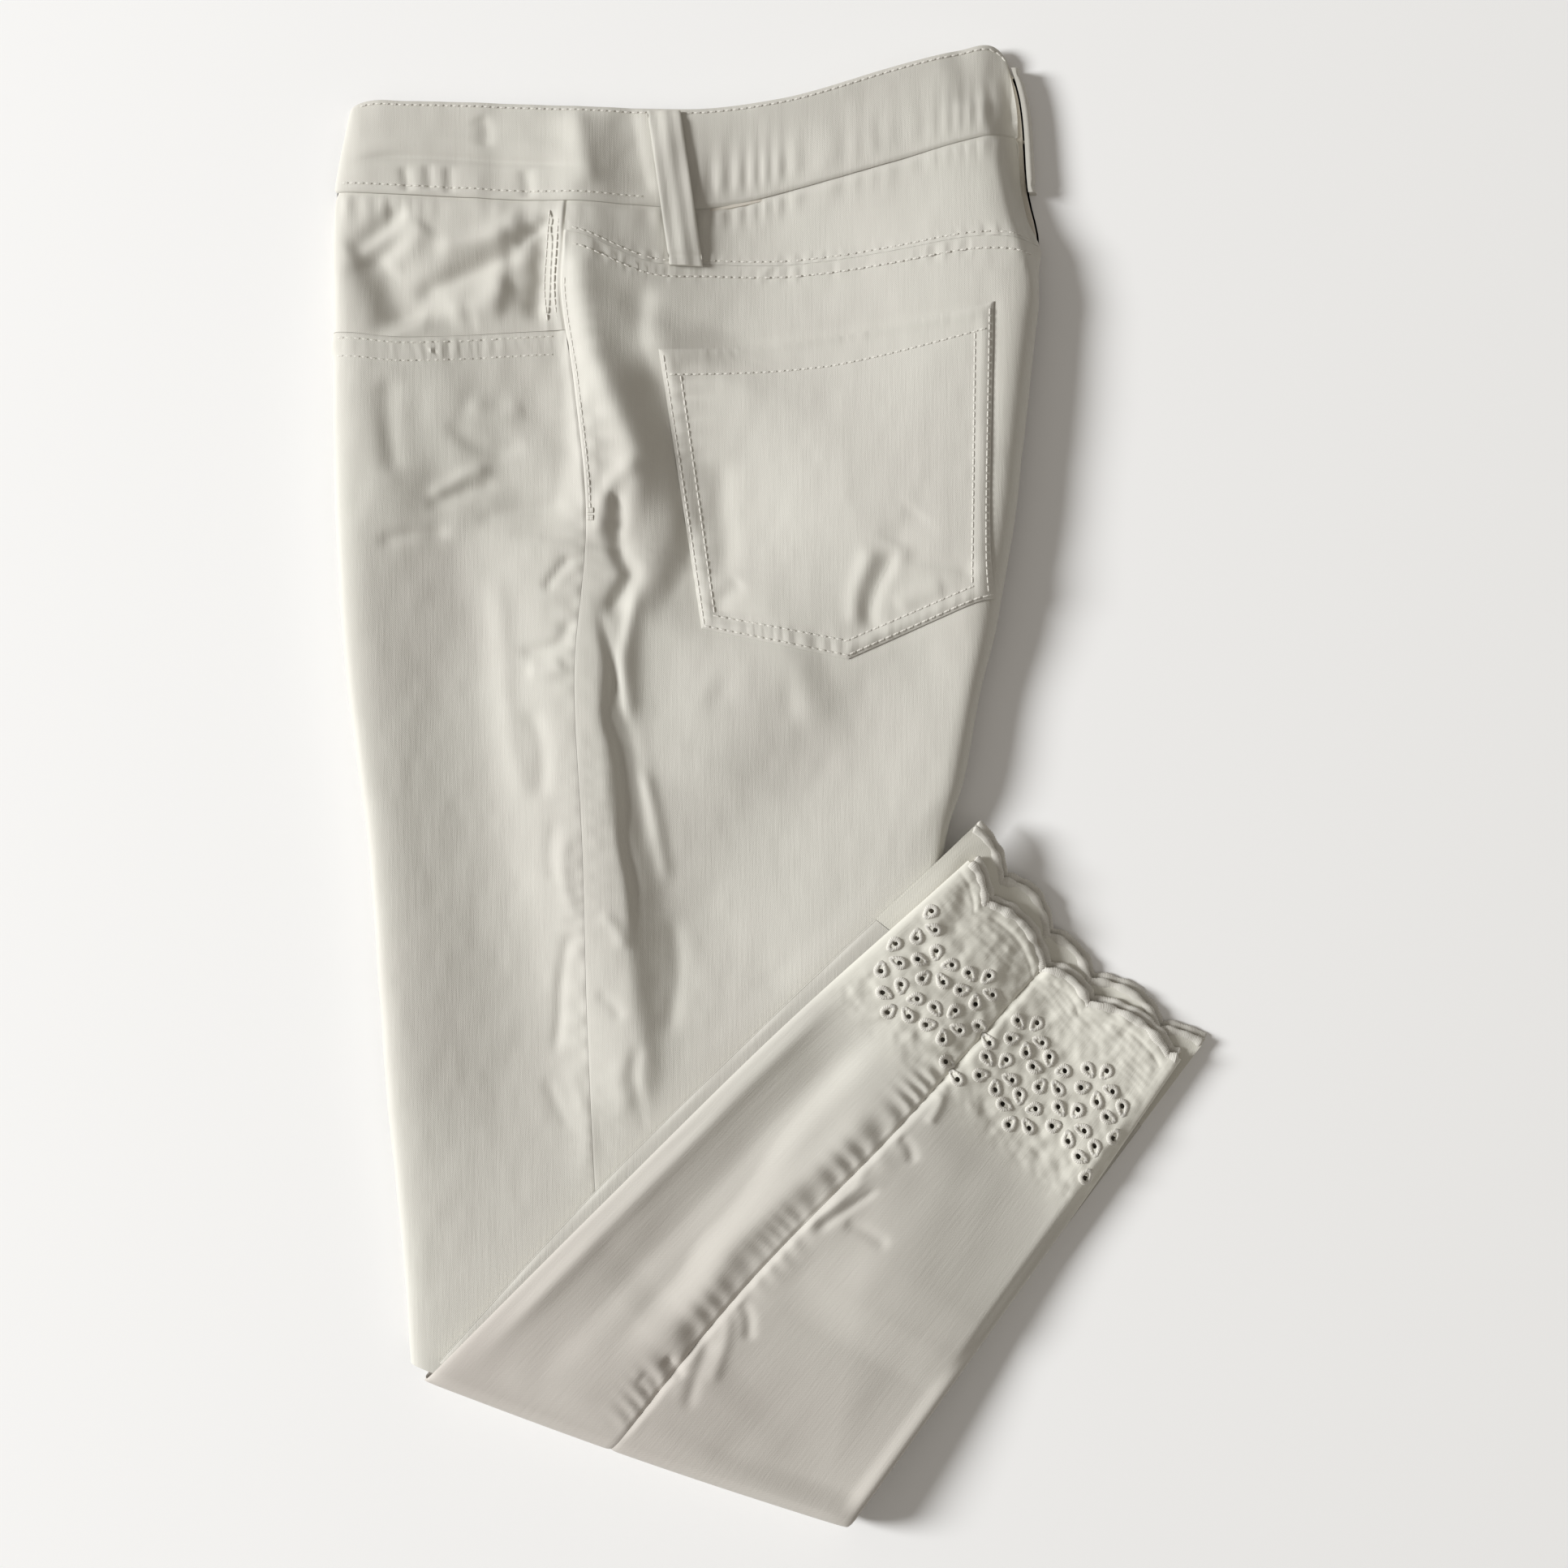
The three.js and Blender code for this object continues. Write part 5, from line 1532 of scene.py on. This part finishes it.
def make_eyelet_rings():
    """A satin-stitched ring round every eyelet, drawn out to a point towards the middle of its flower."""
    holes = np.concatenate([petals(FRONT_FLOWERS, True), petals(BACK_FLOWERS, False)])
    turn = 2 * math.pi * np.arange(RING_STEPS) / RING_STEPS
    reach = 2.15 + ridge(np.minimum(turn, 2 * math.pi - turn), 0, 0.5, 1.9)
    angle = holes[:, 2, None] + turn
    across = np.clip(holes[:, 0, None] + reach * np.cos(angle), 0.6, HEM_WIDTH - 0.6)
    place = hem_place(across, holes[:, 1, None] + reach * np.sin(angle))
    centre = near_surface(*place)
    middle = near_surface(*hem_place(holes[:, 0], holes[:, 1]))[:, None]
    normal = surface_normals(near_surface, *place, 0.003)
    outward = centre - middle
    outward = unit(outward - normal * np.sum(outward * normal, -1, keepdims=True))
    section = 2 * math.pi * np.arange(RING_SIDES)[:, None] / RING_SIDES
    rib = (1 + 0.1 * np.where(np.arange(RING_STEPS) % 2, 1, -1))[:, None, None]
    ring = outward[:, :, None] * np.cos(section) * 1.15
    ring = ring + normal[:, :, None] * (np.sin(section) * 0.55 * rib + 0.05)
    piece = tubes("right_hem_eyelet_rings", centre[:, :, None] + ring, closed=True)
    settle(piece, "cream_thread", "denim_trim")


def make_near_border():
    """The roll that binds the right hem's outer scalloped edge."""
    def edge(share):
        along = hem_end(RIGHT_HEM, share, -0.2)
        return near_surface(share, along) - np.array([0, 0, NEAR_CLOTH * 0.4])

    make_border("right_hem_border", edge_course(edge, 0.012), 2.1, 1.15)


# ---- topstitching --------------------------------------------------------------------------------
def body_surface(relief, lift=0.0):
    """The upper body's outer face under a line of stitching."""
    def at(x, y):
        return lifted(body_skin, x, y, lift + body_relief(x, y) + relief(x, y))
    return at


def plain(x, y):
    return 0 * x


def make_stitches():
    pitch, length, radius = (measure("stitch_" + part) for part in ("pitch", "length", "radius"))
    tack = bar((float(outseam(126)) + 2.2, 126), (0, 1), 7, 4, 0.7)
    tasks = (
        ("waistband_topstitch", BAND_COURSES, body_surface(band_relief, band_proud()), pitch, length),
        ("yoke_topstitch", YOKE_COURSES, body_surface(plain, 0.12), pitch, length),
        ("opening_topstitch", OPENING_COURSES, body_surface(plain, -0.1), pitch, length),
        ("facing_topstitch", FACING_COURSES, body_surface(plain, -FACING_DEPTH + 0.3), pitch, length),
        ("outseam_topstitch", OUTSEAM_COURSES, body_surface(plain, 0.2), pitch, length),
        ("pocket_topstitch", POCKET_COURSES, pocket_surface, pitch, length),
        ("outseam_bar_tack", tack, body_surface(plain, 0.35), 2.4, 2.6),
    )
    for name, courses, surface, from_next, size in tasks:
        piece = stitched(name, courses, surface, from_next, size, radius)
        settle(piece, "cream_thread", "denim_trim")


# ---- stage ---------------------------------------------------------------------------------------
def aim(thing, target):
    run = np.array(target) - np.array(thing.location)
    flat = math.hypot(run[0], run[1])
    thing.rotation_euler = (math.atan2(flat, -run[2]), 0, math.atan2(run[1], run[0]) - math.pi / 2)


def add_to_scene(name, data, place):
    thing = bpy.data.objects.new(name, data)
    thing.location = place
    bpy.context.scene.collection.objects.link(thing)
    return thing


def add_lamp(lamp):
    light = bpy.data.lights.new(lamp.name, "AREA")
    light.shape = "DISK"
    light.size = lamp.size
    light.energy = lamp.power
    light.color = lamp.colour
    aim(add_to_scene(lamp.name, light, lamp.place), (0, 0, 0))


CAMERA_PLACE = (0.0072, 0.0011, 1.223)
FLOOR_THICKNESS = 0.02
FLOOR_DROP = 0.0002
Lamp = namedtuple("Lamp", "name place size power colour")
LAMPS = (
    Lamp("key", (-7.0, 0.75, 3.75), 2.6, 848, (0.98, 0.99, 0.995)),
    Lamp("fill", (5.0, -3.4, 6.0), 6.0, 40, (1, 0.96, 0.88)),
)
ROOM_COLOUR = (1, 0.935, 0.85, 1)
ROOM_STRENGTH = 0.245
LENS = 60


def make_stage():
    half = sizes().floor_size / 2
    x, y = np.meshgrid(*[np.linspace(-half, half, 9)] * 2)
    levels = [at_height(x, y, z) / MM for z in (-FLOOR_DROP, -FLOOR_THICKNESS)]
    floor = slab("floor", levels, in_plan(x, y))
    finish = Finish("pale_floor")
    grain = finish.noise(finish.cloth()[0], (40, 40, 0))
    pale = finish.surface(colours().floor, 0.7 + grain * 0.1, (0, 0, 0), shine=0.2)
    floor.data.materials.append(pale)
    camera = add_to_scene("camera", bpy.data.cameras.new("camera"), CAMERA_PLACE)
    camera.data.lens = LENS
    scene = bpy.context.scene
    scene.camera = camera
    for lamp in LAMPS:
        add_lamp(lamp)
    scene.world = bpy.data.worlds.new("soft_room")
    scene.world.use_nodes = True
    background = scene.world.node_tree.nodes["Background"]
    background.inputs["Color"].default_value = ROOM_COLOUR
    background.inputs["Strength"].default_value = ROOM_STRENGTH
    scene.view_settings.view_transform = "Standard"


# ---- operators -----------------------------------------------------------------------------------
class TROUSERS_OT_upper_layers(bpy.types.Operator):
    """Make the hidden folds of the upper body and the under half of the waistband"""

    bl_idname = "trousers.upper_layers"
    bl_label = "Hidden upper folds"

    def execute(self, context):
        make_upper_layers()
        make_waistband_under()
        return {"FINISHED"}


class TROUSERS_OT_front(bpy.types.Operator):
    """Make the left front and the pocket facing above it"""

    bl_idname = "trousers.front"
    bl_label = "Front and pocket facing"

    def execute(self, context):
        make_front()
        make_facing()
        return {"FINISHED"}


class TROUSERS_OT_back(bpy.types.Operator):
    """Make the left back, the yoke and the back pocket"""

    bl_idname = "trousers.back"
    bl_label = "Back, yoke and pocket"

    def execute(self, context):
        make_back()
        make_yoke()
        make_pocket()
        return {"FINISHED"}


class TROUSERS_OT_waistband(bpy.types.Operator):
    """Make the waistband and its belt loops"""

    bl_idname = "trousers.waistband"
    bl_label = "Waistband and belt loops"

    def execute(self, context):
        make_waistband()
        make_side_loop()
        make_back_loop()
        return {"FINISHED"}


class TROUSERS_OT_lower_legs(bpy.types.Operator):
    """Make the folded lower legs"""

    bl_idname = "trousers.lower_legs"
    bl_label = "Lower legs"

    def execute(self, context):
        make_far_leg()
        make_near_layers()
        make_near_panel("right_front_cloth", "right_front", True)
        make_near_panel("right_back_cloth", "right_back", False)
        return {"FINISHED"}


class TROUSERS_OT_hems(bpy.types.Operator):
    """Make the hidden hem layers, their borders and the embroidery"""

    bl_idname = "trousers.hems"
    bl_label = "Scalloped hems"

    def execute(self, context):
        make_hidden_hems()
        make_eyelet_rings()
        make_near_border()
        return {"FINISHED"}


class TROUSERS_OT_stitches(bpy.types.Operator):
    """Make the topstitching"""

    bl_idname = "trousers.stitches"
    bl_label = "Topstitching"

    def execute(self, context):
        make_stitches()
        return {"FINISHED"}


class TROUSERS_OT_stage(bpy.types.Operator):
    """Make the floor, the lights and the camera"""

    bl_idname = "trousers.stage"
    bl_label = "Floor, lights and camera"

    def execute(self, context):
        make_stage()
        return {"FINISHED"}


OPERATORS = (
    TROUSERS_OT_upper_layers,
    TROUSERS_OT_front,
    TROUSERS_OT_back,
    TROUSERS_OT_waistband,
    TROUSERS_OT_lower_legs,
    TROUSERS_OT_hems,
    TROUSERS_OT_stitches,
    TROUSERS_OT_stage,
)


class TROUSERS_PT_panel(bpy.types.Panel):
    """The trousers' settings and pieces"""

    bl_label = "Folded Ankle Trousers"
    bl_idname = "TROUSERS_PT_panel"
    bl_space_type = "VIEW_3D"
    bl_region_type = "UI"
    bl_category = "Trousers"

    def draw(self, context):
        for group in (context.scene.trouser_sizes, context.scene.trouser_colours):
            box = self.layout.box()
            for name in group.__annotations__:
                box.prop(group, name)
        for operator in OPERATORS:
            self.layout.operator(operator.bl_idname)


CLASSES = (TrouserSizes, TrouserColours, *OPERATORS, TROUSERS_PT_panel)


def register():
    for item in CLASSES:
        bpy.utils.register_class(item)
    bpy.types.Scene.trouser_sizes = bpy.props.PointerProperty(type=TrouserSizes)
    bpy.types.Scene.trouser_colours = bpy.props.PointerProperty(type=TrouserColours)


def unregister():
    del bpy.types.Scene.trouser_colours
    del bpy.types.Scene.trouser_sizes
    for item in reversed(CLASSES):
        bpy.utils.unregister_class(item)


def main():
    register()
    for operator in OPERATORS:
        group, name = operator.bl_idname.split(".")
        getattr(getattr(bpy.ops, group), name)()


if __name__ == "__main__":
    main()
